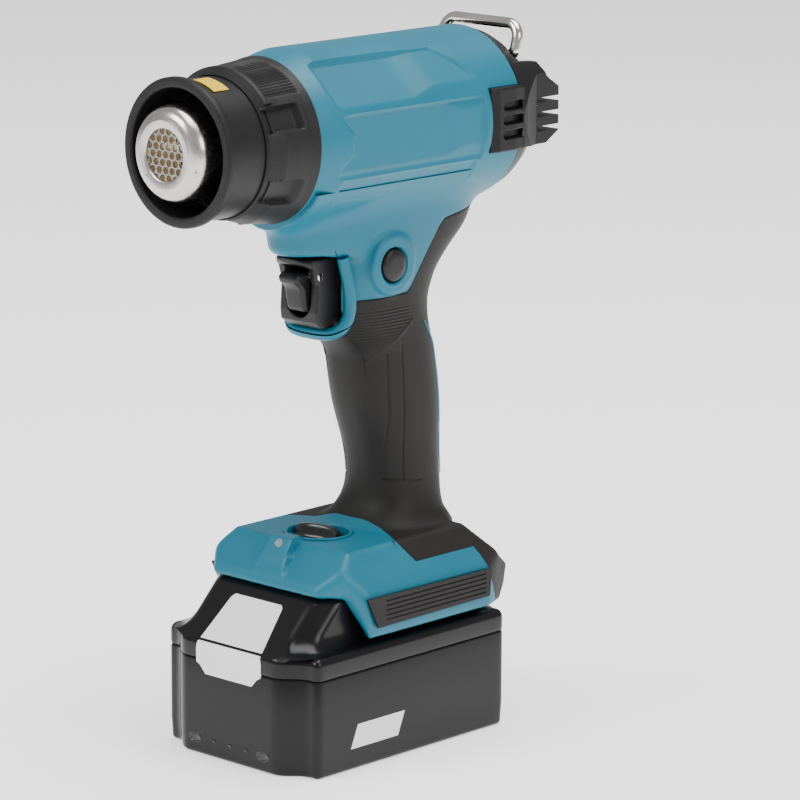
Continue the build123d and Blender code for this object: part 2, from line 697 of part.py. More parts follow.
def power_lead(side):
    """Insulated lead from the terminal block up the grip to the switch."""
    x = side * 4.0
    path = FilletPolyline((x, 33.0, CEILING + WALL + 1.2 + RUN_GAP), (x, 30.0, FOOT_TOP + 6),
                          (x, 24.0, FOOT_TOP + 40), (x, 20.0, SWITCH_Z - 13.1), radius=[60, 90])
    section = Plane(origin=path @ 0, z_dir=path % 0) * Circle(1.1)
    return sweep(section, path=path)


# --- battery ---------------------------------------------------------------------------------------------
def case_plan(inset):
    """Battery outline from above: a rounded rectangle with the front block ahead of it."""
    half, nose = BATTERY_WIDTH / 2, NOSE_WIDTH / 2
    face = outline([(-half, CASE_FRONT), (-nose - NOSE_DEPTH, CASE_FRONT), (-nose, NOSE_FRONT),
                    (nose, NOSE_FRONT), (nose + NOSE_DEPTH, CASE_FRONT), (half, CASE_FRONT),
                    (half, CASE_REAR), (-half, CASE_REAR)])
    return offset(face, -inset) if inset else face


def rail_face(inset):
    """Side outline of the rail block with its sloped front."""
    face = outline([(NOSE_FRONT, CASE_SEAM), (NOSE_FRONT, SHOULDER - 2), (NOSE_FRONT + SLOPE_RUN, BLOCK_TOP),
                    (BLOCK_REAR, BLOCK_TOP), (BLOCK_REAR, CASE_SEAM)])
    return offset(face, -inset) if inset else face


def battery_outside():
    lower = plan_prism(case_plan(0), 0, SHOULDER)
    uprights = lower.edges().filter_by(Axis.Z).group_by(Axis.X)
    lower = fillet(uprights[0] + uprights[-1], 2.5)
    rims = lower.faces().filter_by(Axis.Z)
    lower = chamfer(rims.sort_by(Axis.Z)[0].edges(), 2.0)
    lower = chamfer(lower.faces().filter_by(Axis.Z).sort_by(Axis.Z)[-1].edges(), 1.6)
    rail = side_prism(rail_face(0), -BLOCK_HALF, BLOCK_HALF)
    nose = NOSE_WIDTH / 2
    limit = outline([(-BLOCK_HALF, BLOCK_REAR + 5), (-BLOCK_HALF, CASE_FRONT), (-nose, NOSE_FRONT - EPS),
                     (nose, NOSE_FRONT - EPS), (BLOCK_HALF, CASE_FRONT), (BLOCK_HALF, BLOCK_REAR + 5)])
    return lower + (rail & plan_prism(limit, 0, 100))


def battery_inside():
    inner = plan_prism(case_plan(CASE_WALL), CASE_WALL, SHOULDER - CASE_WALL)
    half = BLOCK_HALF - GROOVE_DEPTH - CASE_WALL
    rail = side_prism(rail_face(CASE_WALL), -half, half)
    return inner + rail


def rail_grooves():
    z0 = CEILING - 10.2
    cut = block(BLOCK_HALF - GROOVE_DEPTH, BLOCK_HALF + 10, -22, BLOCK_REAR + 10, z0, z0 + GROOVE_HEIGHT)
    return cut + mirrored(cut)


def contact_slots():
    cut = block(BLADE_X - 1.2, BLADE_X + 1.2, 16, BLOCK_REAR + 10, BLOCK_TOP - 5.4, BLOCK_TOP + 5)
    return cut + mirrored(cut)


def button_window():
    half = WINDOW_WIDTH / 2
    return block(-half, half, NOSE_FRONT - 5, NOSE_FRONT + SLOPE_RUN - 3, WINDOW_BASE, BLOCK_TOP - 3)


def latch_slot():
    front = NOSE_FRONT + SLOPE_RUN
    return block(-6.4, 6.4, front + 2.5, front + 9, BLOCK_TOP - 9, BLOCK_TOP + 5)


def battery_shell():
    shell = battery_outside() - battery_inside()
    shell -= rail_grooves() + contact_slots() + button_window() + latch_slot()
    for x, y in CASE_SCREWS:
        shell += rod_z(x, y, CASE_BOSS_R, 1.0, CASE_SEAM + 3)
        shell -= rod_z(x, y, CASE_SCREW_R, 4, CASE_SEAM + 2)
        shell -= rod_z(x, y, CASE_SCREW_R + 0.7, -1, 4)
    return shell


CASE_BOSS_R = 2.4
CASE_SCREW_R = 1.2
CASE_SCREWS = [(sx * (BATTERY_WIDTH / 2 - 2.6), sy * (BATTERY_LENGTH / 2 - 3.6))
               for sx in (-1, 1) for sy in (-1, 1)]


def battery_lower_case(shell):
    return shell & block(-100, 100, -100, 100, -1, CASE_SEAM)


def battery_upper_case(shell):
    return shell & block(-100, 100, -100, 100, CASE_SEAM, 100)


def cell_rows():
    pitch = 2 * CELL_R + CELL_GAP
    first = -2 * pitch
    low = CASE_WALL + 1.5 + CELL_R
    return [(first + i * pitch, low + j * pitch) for i in range(5) for j in range(2)]


def battery_cells():
    half = CELL_LENGTH / 2
    return group(*[rod_x(y, z, CELL_R, -half, half) for y, z in cell_rows()])


def cell_holder():
    """Two end plates that the cells sit in, tied by a spine between the layers."""
    half = CELL_LENGTH / 2
    low = CASE_WALL + 0.6
    plate = block(-half + 1, -half + 6, -41, 41, low, low + 36.5)
    holder = plate + mirrored(plate)
    for y, z in cell_rows():
        holder -= rod_x(y, z, CELL_R + PIN_FIT, -half - 5, half + 5)
    return holder


def battery_board():
    return block(-22, 22, -22, 38, SHOULDER + 2.2, SHOULDER + 3.8)


def battery_contacts():
    """Two pairs of spring jaws that grip the tool's blades."""
    jaws = []
    for side in (-1, 1):
        x = side * BLADE_X
        jaw = block(x - 2.4, x + 2.4, 22, 34, SHOULDER + 3.8, BLOCK_TOP - 2.3)
        jaws.append(jaw - block(x - 0.8, x + 0.8, 20, 36, SHOULDER + 5.5, BLOCK_TOP))
    return group(*jaws)


def release_button():
    """White latch button behind the front window, with its catch in the block's top."""
    wall, thick = CASE_WALL + RUN_GAP, 1.8
    half = WINDOW_WIDTH / 2 + 2.0
    slope_end = NOSE_FRONT + SLOPE_RUN
    outer = offset(rail_plate(), -wall)
    inner = offset(rail_plate(), -wall - thick)
    band = side_prism(outer, -half, half) - side_prism(inner, -half - 1, half + 1)
    band = band & block(-half, half, NOSE_FRONT, slope_end + 1.5, WINDOW_BASE - 5, BLOCK_TOP - wall)
    catch = block(-6, 6, slope_end + 3.0, slope_end + 8.5, BLOCK_TOP - 5, BLOCK_TOP - 0.1)
    link = block(-6, 6, slope_end, slope_end + 8.5, BLOCK_TOP - 6.5, BLOCK_TOP - 4.4)
    return band + catch + link


def rail_plate():
    return outline([(NOSE_FRONT, 0), (NOSE_FRONT, SHOULDER - 2), (NOSE_FRONT + SLOPE_RUN, BLOCK_TOP),
                    (20, BLOCK_TOP), (20, 0)])


def release_springs():
    coil = helix_wire(1.0, 0.2, 9.0, 8)
    y = NOSE_FRONT + CASE_WALL + RUN_GAP + 0.9
    return group(*[Pos(x, y, WINDOW_BASE - 14.3) * coil for x in (-9, 9)])


def case_screws():
    """Screws that hold the two case halves, driven from below."""
    return group(*[rod_z(x, y, CASE_SCREW_R, 3.5, CASE_SEAM + 1) + rod_z(x, y, CASE_SCREW_R + 0.6, 2.0, 4.0)
                   for x, y in CASE_SCREWS])


def housing_screws():
    screws = []
    for y, z, seat in SCREWS:
        head = rod_x(y, z, SCREW_HEAD_R, -seat, -seat + 2.2)
        screws.append(head + rod_x(y, z, SCREW_R, -seat + 2, seat - 3.5))
    return group(*screws)


# --- build -----------------------------------------------------------------------------------------------
def main():
    case = housing()
    skin = grip_skin()
    shell = battery_shell()
    grille, pad = side_grille(), base_pad()
    write("housing_left", left_half(case))
    write("housing_right", right_half(case))
    write("grip_left", left_half(skin))
    write("grip_right", right_half(skin))
    write("side_grille_left", grille)
    write("side_grille_right", mirrored(grille))
    write("base_pad_left", pad)
    write("base_pad_right", mirrored(pad))
    write("battery_lower_case", battery_lower_case(shell))
    write("battery_upper_case", battery_upper_case(shell))
    pieces = {
        "rear_cover": rear_cover, "hook": hook, "lock_ring": lock_ring, "nose_cover": nose_cover,
        "nose_label": nose_label, "nozzle_tube": nozzle_tube, "nozzle_mesh": nozzle_mesh,
        "nozzle_flange": nozzle_flange, "mica_tube": mica_tube, "heater_former": heater_former,
        "heater_coil": heater_coil, "air_duct": air_duct, "fan": fan, "motor_shaft": motor_shaft,
        "motor_can": motor_can, "motor_mount": motor_mount, "trigger": trigger, "lever_pin": lever_pin,
        "lock_off_lever": lock_off_lever, "switch_plunger": switch_plunger, "trigger_spring": trigger_spring,
        "switch_module": switch_module, "lock_button": lock_button, "lock_button_spring": lock_button_spring,
        "dial": dial, "dial_sensor": dial_sensor, "led_lens": led_lens, "led_board": led_board,
        "control_board": control_board, "terminal_block": terminal_block, "terminal_blades": terminal_blades,
        "housing_screws": housing_screws, "battery_cells": battery_cells, "cell_holder": cell_holder,
        "battery_board": battery_board, "battery_contacts": battery_contacts,
        "release_button": release_button, "release_springs": release_springs, "case_screws": case_screws,
    }
    for name, make in pieces.items():
        write(name, make())
    write("power_lead_plus", power_lead(1))
    write("power_lead_minus", power_lead(-1))


main()
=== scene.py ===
import math

import bmesh
import bpy
import numpy as np
from mathutils import Matrix


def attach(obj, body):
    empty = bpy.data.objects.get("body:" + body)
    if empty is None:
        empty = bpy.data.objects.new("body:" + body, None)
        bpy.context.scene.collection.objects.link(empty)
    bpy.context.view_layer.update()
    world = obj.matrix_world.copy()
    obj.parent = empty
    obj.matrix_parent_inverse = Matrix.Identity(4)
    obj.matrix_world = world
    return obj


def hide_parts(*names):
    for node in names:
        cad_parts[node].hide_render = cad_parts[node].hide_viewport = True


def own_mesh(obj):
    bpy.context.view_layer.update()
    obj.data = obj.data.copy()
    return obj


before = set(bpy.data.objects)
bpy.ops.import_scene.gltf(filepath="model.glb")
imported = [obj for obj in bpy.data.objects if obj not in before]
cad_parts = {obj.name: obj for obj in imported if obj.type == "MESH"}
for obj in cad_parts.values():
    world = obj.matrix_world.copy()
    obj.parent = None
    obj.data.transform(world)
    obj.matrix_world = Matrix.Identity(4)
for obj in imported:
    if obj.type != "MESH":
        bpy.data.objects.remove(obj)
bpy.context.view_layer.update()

# Sizes are in millimetres until a mesh is made. +Z is up, the nozzle points to -Y, +X is the tool's left.
MM = 0.001
BARREL_Z = 220.5
BARREL_R = 31.2
BARREL_FRONT, BARREL_REAR = -38.0, 63.0
FOOT_TOP = 76.5
BLOCK_TOP = 60.5


# --- numbers and fields -----------------------------------------------------------------------------------
def rise(x, start, end):
    """Smooth step: 0 before start, 1 after end, 3t^2 - 2t^3 between."""
    t = np.clip((x - start) / (end - start), 0, 1)
    return t * t * (3 - 2 * t)


def soft_min(a, b, k):
    """The smaller of two values with the corner rounded over a width k."""
    h = np.clip(0.5 + 0.5 * (b - a) / k, 0, 1)
    return b + (a - b) * h - k * h * (1 - h)


def soft_max(a, b, k):
    return -soft_min(-a, -b, k)


def outline_distance(u, v, corners):
    """Signed distance from points (u, v) to a closed outline of straight edges, negative inside."""
    corners = np.asarray(corners, float)
    best = np.full(np.shape(u), 1e9)
    inside = np.zeros(np.shape(u), bool)
    for (au, av), (bu, bv) in zip(corners, np.roll(corners, -1, axis=0)):
        eu, ev = bu - au, bv - av
        t = np.clip(((u - au) * eu + (v - av) * ev) / (eu * eu + ev * ev), 0, 1)
        best = np.minimum(best, (u - au - t * eu) ** 2 + (v - av - t * ev) ** 2)
        if av != bv:
            crosses = ((av > v) != (bv > v)) & (u < (bu - au) * (v - av) / (bv - av) + au)
            inside ^= crosses
    return np.where(inside, -1.0, 1.0) * np.sqrt(best)


def along(z, levels, values, blur=2.0):
    """Values listed by level, read between the levels and averaged over a short stretch so no kink shows."""
    return sum(np.interp(z + d, levels, values) for d in np.linspace(-blur, blur, 9)) / 9


def cast(field, start, aim, near, far, steps=80):
    """Surface points: walk in along each ray from far to near until the field turns negative, then halve the
    last step twelve times. start and aim are grids of points and directions, so the result is such a grid."""
    shape = start.shape[:-1]
    levels = np.linspace(far, near, steps)
    inner, outer = np.full(shape, float(near)), np.full(shape, float(near) + 1e-3)
    found = np.zeros(shape, bool)
    for before, now in zip(levels[:-1], levels[1:]):
        p = start + aim * now
        hit = (field(p[..., 0], p[..., 1], p[..., 2]) < 0) & ~found
        inner[hit], outer[hit] = now, before
        found |= hit
    for _ in range(12):
        middle = (inner + outer) / 2
        p = start + aim * middle[..., None]
        solid = field(p[..., 0], p[..., 1], p[..., 2]) < 0
        inner, outer = np.where(solid, middle, inner), np.where(solid, outer, middle)
    return start + aim * ((inner + outer) / 2)[..., None]


def rows_between(points, first, last, count):
    """Reads a grid again at evenly spaced fractional rows, from first to last, given for each column."""
    at = first + (last - first) * np.linspace(0, 1, count)[:, None]
    low = np.clip(np.floor(at).astype(int), 0, len(points) - 2)
    share = (at - low)[..., None]
    column = np.arange(points.shape[1])[None, :]
    return points[low, column] * (1 - share) + points[low + 1, column] * share


def first_crossing(value):
    """For each column, the fractional row where a value first turns from negative to positive."""
    positive = value > 0
    row = np.where(positive.any(0), positive.argmax(0), len(value) - 1)
    row = np.clip(row, 1, len(value) - 1)
    column = np.arange(value.shape[1])
    a, b = value[row - 1, column], value[row, column]
    share = np.where(positive.any(0), np.clip(-a / np.where(b == a, 1, b - a), 0, 1), 1.0)
    return row - 1 + share


# --- meshes -----------------------------------------------------------------------------------------------
def make_piece(name, points, finish, body, wrap_columns=False, wrap_rows=False, hides=(), sharp=40.0):
    """Quads over a grid of points (rows, columns, xyz). Doubles are merged, so poles and seams close; the
    faces are turned outwards by the sign of the volume they enclose."""
    rows, columns = points.shape[:2]
    index = np.arange(rows * columns).reshape(rows, columns)
    if wrap_columns:
        index = np.concatenate([index, index[:, :1]], axis=1)
    if wrap_rows:
        index = np.concatenate([index, index[:1]], axis=0)
    quads = np.stack([index[:-1, :-1], index[:-1, 1:], index[1:, 1:], index[1:, :-1]], axis=-1).reshape(-1, 4)
    return make_mesh(name, points.reshape(-1, 3), quads, finish, body, hides, sharp)


def make_mesh(name, points, quads, finish, body, hides=(), sharp=40.0):
    """A mesh from points in millimetres, smooth but for edges sharper than an angle, riding a body of the
    frame and standing in for the nodes it hides. The volume's sign comes from summing each quad's middle
    times the cross product of its diagonals."""
    centre = points.mean(0)
    p = points[quads] - centre
    volume = np.einsum("ij,ij->i", p.mean(1), np.cross(p[:, 2] - p[:, 0], p[:, 3] - p[:, 1])).sum()
    if volume < 0:
        quads = quads[:, ::-1]
    mesh = bpy.data.meshes.new(name)
    mesh.from_pydata((points * MM).tolist(), [], quads.tolist())
    merge_doubles(mesh)
    mesh.shade_smooth()
    mesh.set_sharp_from_angle(angle=math.radians(sharp))
    mesh.materials.append(finish)
    piece = bpy.data.objects.new(name, mesh)
    bpy.context.scene.collection.objects.link(piece)
    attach(piece, body)
    if hides:
        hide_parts(*hides)
    return piece


def merge_doubles(mesh):
    """Joins points closer than a hundredth of a millimetre and drops the flat faces that this leaves."""
    work = bmesh.new()
    work.from_mesh(mesh)
    bmesh.ops.remove_doubles(work, verts=work.verts, dist=0.00001)
    bmesh.ops.dissolve_degenerate(work, edges=work.edges, dist=0.000001)
    work.to_mesh(mesh)
    work.free()


def rounded(corners, radius, closed=False, steps=5):
    """A line of straight runs with each corner replaced by a short arc-like curve: a quadratic from one
    radius before the corner to one radius after it, shorter where the runs are short."""
    corners = [np.asarray(c, float) for c in corners]
    out = []
    n = len(corners)
    for i, c in enumerate(corners):
        if not closed and i in (0, n - 1):
            out.append(c)
            continue
        a, b = corners[i - 1], corners[(i + 1) % n]
        la, lb = np.linalg.norm(a - c), np.linalg.norm(b - c)
        cut = min(radius, 0.48 * la, 0.48 * lb)
        p, q = c + (a - c) / la * cut, c + (b - c) / lb * cut
        t = np.linspace(0, 1, steps)[:, None]
        out.extend((1 - t) ** 2 * p + 2 * t * (1 - t) * c + t * t * q)
    return np.array(out)


def turned(profile, count=160, centre=(0.0, BARREL_Z)):
    """A profile of (radius, y) turned about a line along Y: x = r sin a, z = r cos a."""
    a = np.linspace(0, 2 * np.pi, count, endpoint=False)
    r, y = profile[:, 0][:, None], profile[:, 1][:, None]
    return np.stack([centre[0] + r * np.sin(a), y + 0 * a, centre[1] + r * np.cos(a)], axis=-1)


def turned_up(profile, x, y, count=96):
    """A profile of (radius, z) turned about an upright line at x, y."""
    a = np.linspace(0, 2 * np.pi, count, endpoint=False)
    r, z = profile[:, 0][:, None], profile[:, 1][:, None]
    return np.stack([x + r * np.sin(a), y + r * np.cos(a), z + 0 * a], axis=-1)


def turned_across(profile, y, z, count=96):
    """A profile of (radius, x) turned about a line along X at y, z."""
    a = np.linspace(0, 2 * np.pi, count, endpoint=False)
    r, x = profile[:, 0][:, None], profile[:, 1][:, None]
    return np.stack([x + 0 * a, y + r * np.cos(a), z + r * np.sin(a)], axis=-1)


def tube(path, radius, count=20):
    """A round section of one radius carried along a path, its frame turned with the path's direction."""
    path = np.asarray(path, float)
    ahead = np.gradient(path, axis=0)
    ahead /= np.linalg.norm(ahead, axis=1)[:, None]
    side = np.cross(ahead, np.array([0.3, 0.2, 0.93]))
    side /= np.linalg.norm(side, axis=1)[:, None]
    up = np.cross(side, ahead)
    a = np.linspace(0, 2 * np.pi, count, endpoint=False)[None, :, None]
    ring = path[:, None] + radius * (np.cos(a) * side[:, None] + np.sin(a) * up[:, None])
    ends = [np.repeat(path[:1, None], count, 1), ring, np.repeat(path[-1:, None], count, 1)]
    return np.concatenate(ends)


def slab(corners, low, high, radius, axis, edge=0.8, steps=5):
    """A flat outline given thickness along an axis (0, 1 or 2) with rounded corners and rims: the outline is
    drawn towards its middle by 1 - cos as the rim turns over."""
    line = rounded(corners, radius, closed=True)
    ahead = np.roll(line, -1, 0) - np.roll(line, 1, 0)
    normal = np.stack([ahead[:, 1], -ahead[:, 0]], 1) / np.linalg.norm(ahead, axis=1)[:, None]
    middle = line.mean(0)
    if ((line - middle) * normal).sum() < 0:
        normal = -normal
    turn = np.linspace(0, np.pi / 2, steps)
    inset = np.concatenate([[1e3], edge * (1 - np.sin(turn)), edge * (1 - np.cos(turn)), [1e3]])
    level = np.concatenate([[low], low + edge * (1 - np.cos(turn)), high - edge * (1 - np.sin(turn)), [high]])
    flat = []
    for d in inset:
        flat.append(np.repeat(middle[None], len(line), 0) if d > 1e2 else line - normal * d)
    flat = np.array(flat)
    points = np.insert(flat, axis, 0.0, axis=2)
    points[..., axis] = level[:, None]
    return points


# --- finishes ---------------------------------------------------------------------------------------------
class Signal:
    """A socket of the shader with ordinary arithmetic on it."""

    def __init__(self, finish, socket):
        self.finish, self.socket = finish, socket

    def _math(self, operation, *values):
        return self.finish.node("ShaderNodeMath", {"operation": operation}, dict(enumerate(values)))

    def __add__(self, other):
        return self._math("ADD", self, other)

    def __sub__(self, other):
        return self._math("SUBTRACT", self, other)

    def __mul__(self, other):
        return self._math("MULTIPLY", self, other)

    def __rsub__(self, other):
        return self._math("SUBTRACT", other, self)

    __radd__, __rmul__ = __add__, __mul__

    def above(self, level, width):
        """0 below level, 1 above level + width."""
        return self.finish.node("ShaderNodeMapRange", {"interpolation_type": "SMOOTHSTEP"},
                                {"Value": self, "From Min": level, "From Max": level + width})


class Finish:
    """A Principled material with the nodes that vary it; sockets with one value are given by name."""

    def __init__(self, name, **fixed):
        self.material = bpy.data.materials.new(name)
        self.material.use_nodes = True
        self.tree = self.material.node_tree
        self.shader = self.tree.nodes["Principled BSDF"]
        self.place = self.node("ShaderNodeTexCoord", {}, {}, "Object")
        for socket, value in fixed.items():
            self.shader.inputs[socket.replace("_", " ")].default_value = value

    def node(self, kind, settings, inputs, output=0):
        """Adds any node: its type, its settings, then its sockets' values or the signals that feed them."""
        node = self.tree.nodes.new(kind)
        for key, value in settings.items():
            setattr(node, key, value)
        for key, value in inputs.items():
            if isinstance(value, Signal):
                self.tree.links.new(value.socket, node.inputs[key])
            else:
                node.inputs[key].default_value = value
        return Signal(self, node.outputs[output])

    def noise(self, scale, detail=3.0, rough=0.5, stretch=(1, 1, 1), output=0):
        at = self.place
        if stretch != (1, 1, 1):
            at = self.node("ShaderNodeMapping", {}, {"Vector": at, "Scale": stretch})
        return self.node("ShaderNodeTexNoise", {},
                         {"Vector": at, "Scale": scale, "Detail": detail, "Roughness": rough}, output)

    def cells(self, scale, feature="F1"):
        return self.node("ShaderNodeTexVoronoi", {"feature": feature}, {"Vector": self.place, "Scale": scale},
                         "Distance")

    def wave(self, value):
        """The sine of a value."""
        return self.node("ShaderNodeMath", {"operation": "SINE"}, {0: value})

    def axes(self):
        """X, Y and Z of the place, in metres."""
        split = self.node("ShaderNodeSeparateXYZ", {}, {"Vector": self.place})
        outs = split.socket.node.outputs
        return [Signal(self, outs[i]) for i in range(3)]

    def blend(self, share, low, high):
        """A colour between two others."""
        return self.node("ShaderNodeMix", {"data_type": "RGBA"}, {0: share, 6: low, 7: high}, 2)

    def colour(self, value):
        self.tree.links.new(value.socket, self.shader.inputs["Base Color"])

    def roughness(self, value):
        self.tree.links.new(value.socket, self.shader.inputs["Roughness"])

    def relief(self, height, depth, strength=1.0):
        bump = self.node("ShaderNodeBump", {}, {"Strength": strength, "Distance": depth, "Height": height}, 0)
        self.tree.links.new(bump.socket, self.shader.inputs["Normal"])


def rgb(r, g, b):
    return (r, g, b, 1.0)


def moulded(name, dark, light, rough, spread, grain, depth, **fixed):
    """Moulded plastic: fine spark-eroded grain and a faint cloud in the colour."""
    f = Finish(name, **fixed)
    cloud = f.noise(35, 4)
    grainy = f.noise(grain, 2, 0.6)
    f.colour(f.blend(cloud, rgb(*dark), rgb(*light)))
    f.roughness(rough + (cloud - 0.5) * spread + (grainy - 0.5) * spread)
    f.relief(grainy, depth, 0.5)
    return f.material


def rubber(name, dark, light, rough, ribs=None):
    """Soft overmould: matt grain with pale dust in it, and fine raised lines where it is gripped."""
    f = Finish(name, **{"Specular_IOR_Level": 0.2})
    cloud = f.noise(22, 4)
    grainy = f.noise(2600, 2, 0.7)
    dust = f.noise(420, 5, 0.75).above(0.66, 0.08)
    f.colour(f.blend(dust * 0.35, f.blend(cloud, rgb(*dark), rgb(*light)), rgb(0.07, 0.062, 0.058)))
    f.roughness(rough + (cloud - 0.5) * 0.15 + dust * 0.1)
    height = grainy
    if ribs:
        height = height * 0.25 + ribs(f)
    f.relief(height, 0.00025, 0.6)
    return f.material


def turned_steel(name, dark, light, stain, rough, brush=True):
    """Bright metal with lathe marks round the barrel's axis, cloudy heat stains and small pits."""
    f = Finish(name, Metallic=1.0)
    cloud = f.noise(90, 5, 0.65)
    spots = f.noise(340, 4, 0.7).above(0.56, 0.16)
    f.colour(f.blend(spots * cloud.above(0.42, 0.2), f.blend(cloud, rgb(*dark), rgb(*light)), rgb(*stain)))
    lines = f.noise(1500, 2, 0.5, (0.05, 1, 0.05)) if brush else f.noise(900, 2)
    f.roughness(rough + (cloud - 0.5) * 0.22 + spots * 0.16)
    f.relief(lines + spots * 0.4, 0.00003, 0.5)
    return f.material


def palm_ribs(f):
    """Fine level lines 1.2 mm apart on the upper grip, inside a patch with slanting lower sides."""
    y, z = f.axes()[1:]
    patch = (z - y * 0.646).above(0.1386, 0.0006) * (z + y * 0.48).above(0.1453, 0.0006)
    patch = patch * (0.1575 - z).above(0.0, 0.0005)
    patch = patch * (0.0192 - y).above(0.0, 0.0005) * (y + 0.007).above(0.0, 0.0005)
    return f.wave(z * 5236.0) * patch


def board(name):
    """Circuit board: green mask with faint copper tracks."""
    f = Finish(name, **{"Coat_Weight": 0.4, "Roughness": 0.35})
    track = f.cells(260, "DISTANCE_TO_EDGE").above(0.05, 0.03)
    f.colour(f.blend(track, rgb(0.02, 0.16, 0.06), rgb(0.01, 0.09, 0.035)))
    f.relief(track, 0.00005)
    return f.material


TEAL = moulded("teal_moulding", (0.0015, 0.118, 0.185), (0.003, 0.150, 0.228), 0.42, 0.10, 2300, 0.00005,
               Specular_IOR_Level=0.35)
BLACK = moulded("black_moulding", (0.0065, 0.006, 0.006), (0.012, 0.011, 0.0115), 0.42, 0.12, 1900, 0.00006,
                 Specular_IOR_Level=0.22)
RING_BLACK = moulded("ring_moulding", (0.0075, 0.007, 0.007), (0.014, 0.0125, 0.013), 0.45, 0.14, 1700,
                     0.00008, Specular_IOR_Level=0.24)
TRIGGER_BLACK = moulded("trigger_moulding", (0.0075, 0.007, 0.0072), (0.013, 0.012, 0.0122), 0.38, 0.10,
                        2600, 0.00004, Specular_IOR_Level=0.3)
BATTERY_BLACK = moulded("battery_moulding", (0.0035, 0.0032, 0.0038), (0.007, 0.0065, 0.0075), 0.25,
                        0.10, 3200, 0.000015, Specular_IOR_Level=0.26)
DIAL_BLACK = moulded("dial_moulding", (0.008, 0.008, 0.0085), (0.014, 0.014, 0.0145), 0.22, 0.08, 1500,
                     0.00002)
GRIP = rubber("soft_grip", (0.009, 0.008, 0.0078), (0.016, 0.0145, 0.0135), 0.54, palm_ribs)
PAD = rubber("ribbed_pad", (0.010, 0.009, 0.0088), (0.017, 0.015, 0.0145), 0.52)
WHITE = moulded("white_moulding", (0.82, 0.82, 0.81), (0.92, 0.92, 0.91), 0.36, 0.05, 1500, 0.00002)
STEEL = turned_steel("nozzle_steel", (0.40, 0.38, 0.37), (0.70, 0.68, 0.67), (0.16, 0.12, 0.10), 0.24)
WIRE = turned_steel("bright_wire", (0.55, 0.53, 0.50), (0.84, 0.82, 0.78), (0.25, 0.18, 0.13), 0.14, False)
SCREW = turned_steel("zinc_screw", (0.35, 0.35, 0.37), (0.55, 0.55, 0.57), (0.2, 0.2, 0.21), 0.34, False)
DARK_STEEL = turned_steel("motor_steel", (0.28, 0.28, 0.29), (0.5, 0.5, 0.52), (0.16, 0.15, 0.15), 0.32)
HEATER = turned_steel("heater_wire", (0.22, 0.17, 0.15), (0.4, 0.32, 0.27), (0.1, 0.06, 0.05), 0.45, False)
BRASS = turned_steel("contact_brass", (0.55, 0.38, 0.15), (0.82, 0.62, 0.30), (0.3, 0.2, 0.1), 0.3, False)
MICA = moulded("mica_sheet", (0.50, 0.40, 0.24), (0.78, 0.68, 0.48), 0.4, 0.2, 300, 0.0001)
# Painted glow: the ceramic former gets a faint warm emission, so it shines as if lit though it is no lamp.
CERAMIC_PAINTED_GLOW = moulded("ceramic_board_painted_glow", (0.66, 0.60, 0.50), (0.86, 0.82, 0.74), 0.7, 0.15, 900, 0.00008,
                  Emission_Color=(1.0, 0.9, 0.75, 1.0), Emission_Strength=0.35)
YELLOW = moulded("yellow_patch", (0.74, 0.46, 0.0), (0.82, 0.54, 0.0), 0.33, 0.08, 800, 0.00002)
CELL = moulded("cell_wrap", (0.03, 0.18, 0.08), (0.06, 0.27, 0.12), 0.3, 0.08, 400, 0.00002)
HOLDER = moulded("cell_holder", (0.05, 0.05, 0.055), (0.08, 0.08, 0.085), 0.55, 0.1, 900, 0.00005)
FAN_GREY = moulded("fan_moulding", (0.06, 0.06, 0.065), (0.1, 0.1, 0.105), 0.5, 0.1, 900, 0.00005)
RED_LEAD = moulded("red_lead", (0.35, 0.01, 0.01), (0.5, 0.02, 0.02), 0.4, 0.1, 600, 0.00004)
BLACK_LEAD = moulded("black_lead", (0.012, 0.012, 0.012), (0.02, 0.02, 0.02), 0.4, 0.1, 600, 0.00004)
BOARD = board("circuit_board")


def clear_lens():
    f = Finish("clear_lens", **{"Transmission_Weight": 0.85, "IOR": 1.45, "Roughness": 0.08,
                                "Base_Color": rgb(0.95, 0.97, 1.0)})
    f.relief(f.noise(700, 2), 0.00002)
    return f.material


LENS = clear_lens()


def pale_print():
    """Thin pale ink on the battery's flank, slightly worn."""
    f = Finish("pale_print")
    worn = f.noise(900, 5, 0.7).above(0.7, 0.06)
    f.colour(f.blend(worn, rgb(0.78, 0.78, 0.80), rgb(0.45, 0.45, 0.47)))
    f.roughness(f.noise(120, 3) * 0.2 + 0.25)
    return f.material


PRINT = pale_print()


# --- barrel -----------------------------------------------------------------------------------------------
FAR = 60.0                       # a radius outside everything, where no panel cuts
LIP_R = 24.7                     # the barrel's front edge closes in to the ring's bore


def sunk_panel(r, floor, lift, wall, away, blur):
    """The round barrel cut back to a panel's floor, its ends lifted and its long edges walled up."""
    return soft_min(r, np.where(away, FAR, floor + lift + wall), blur)


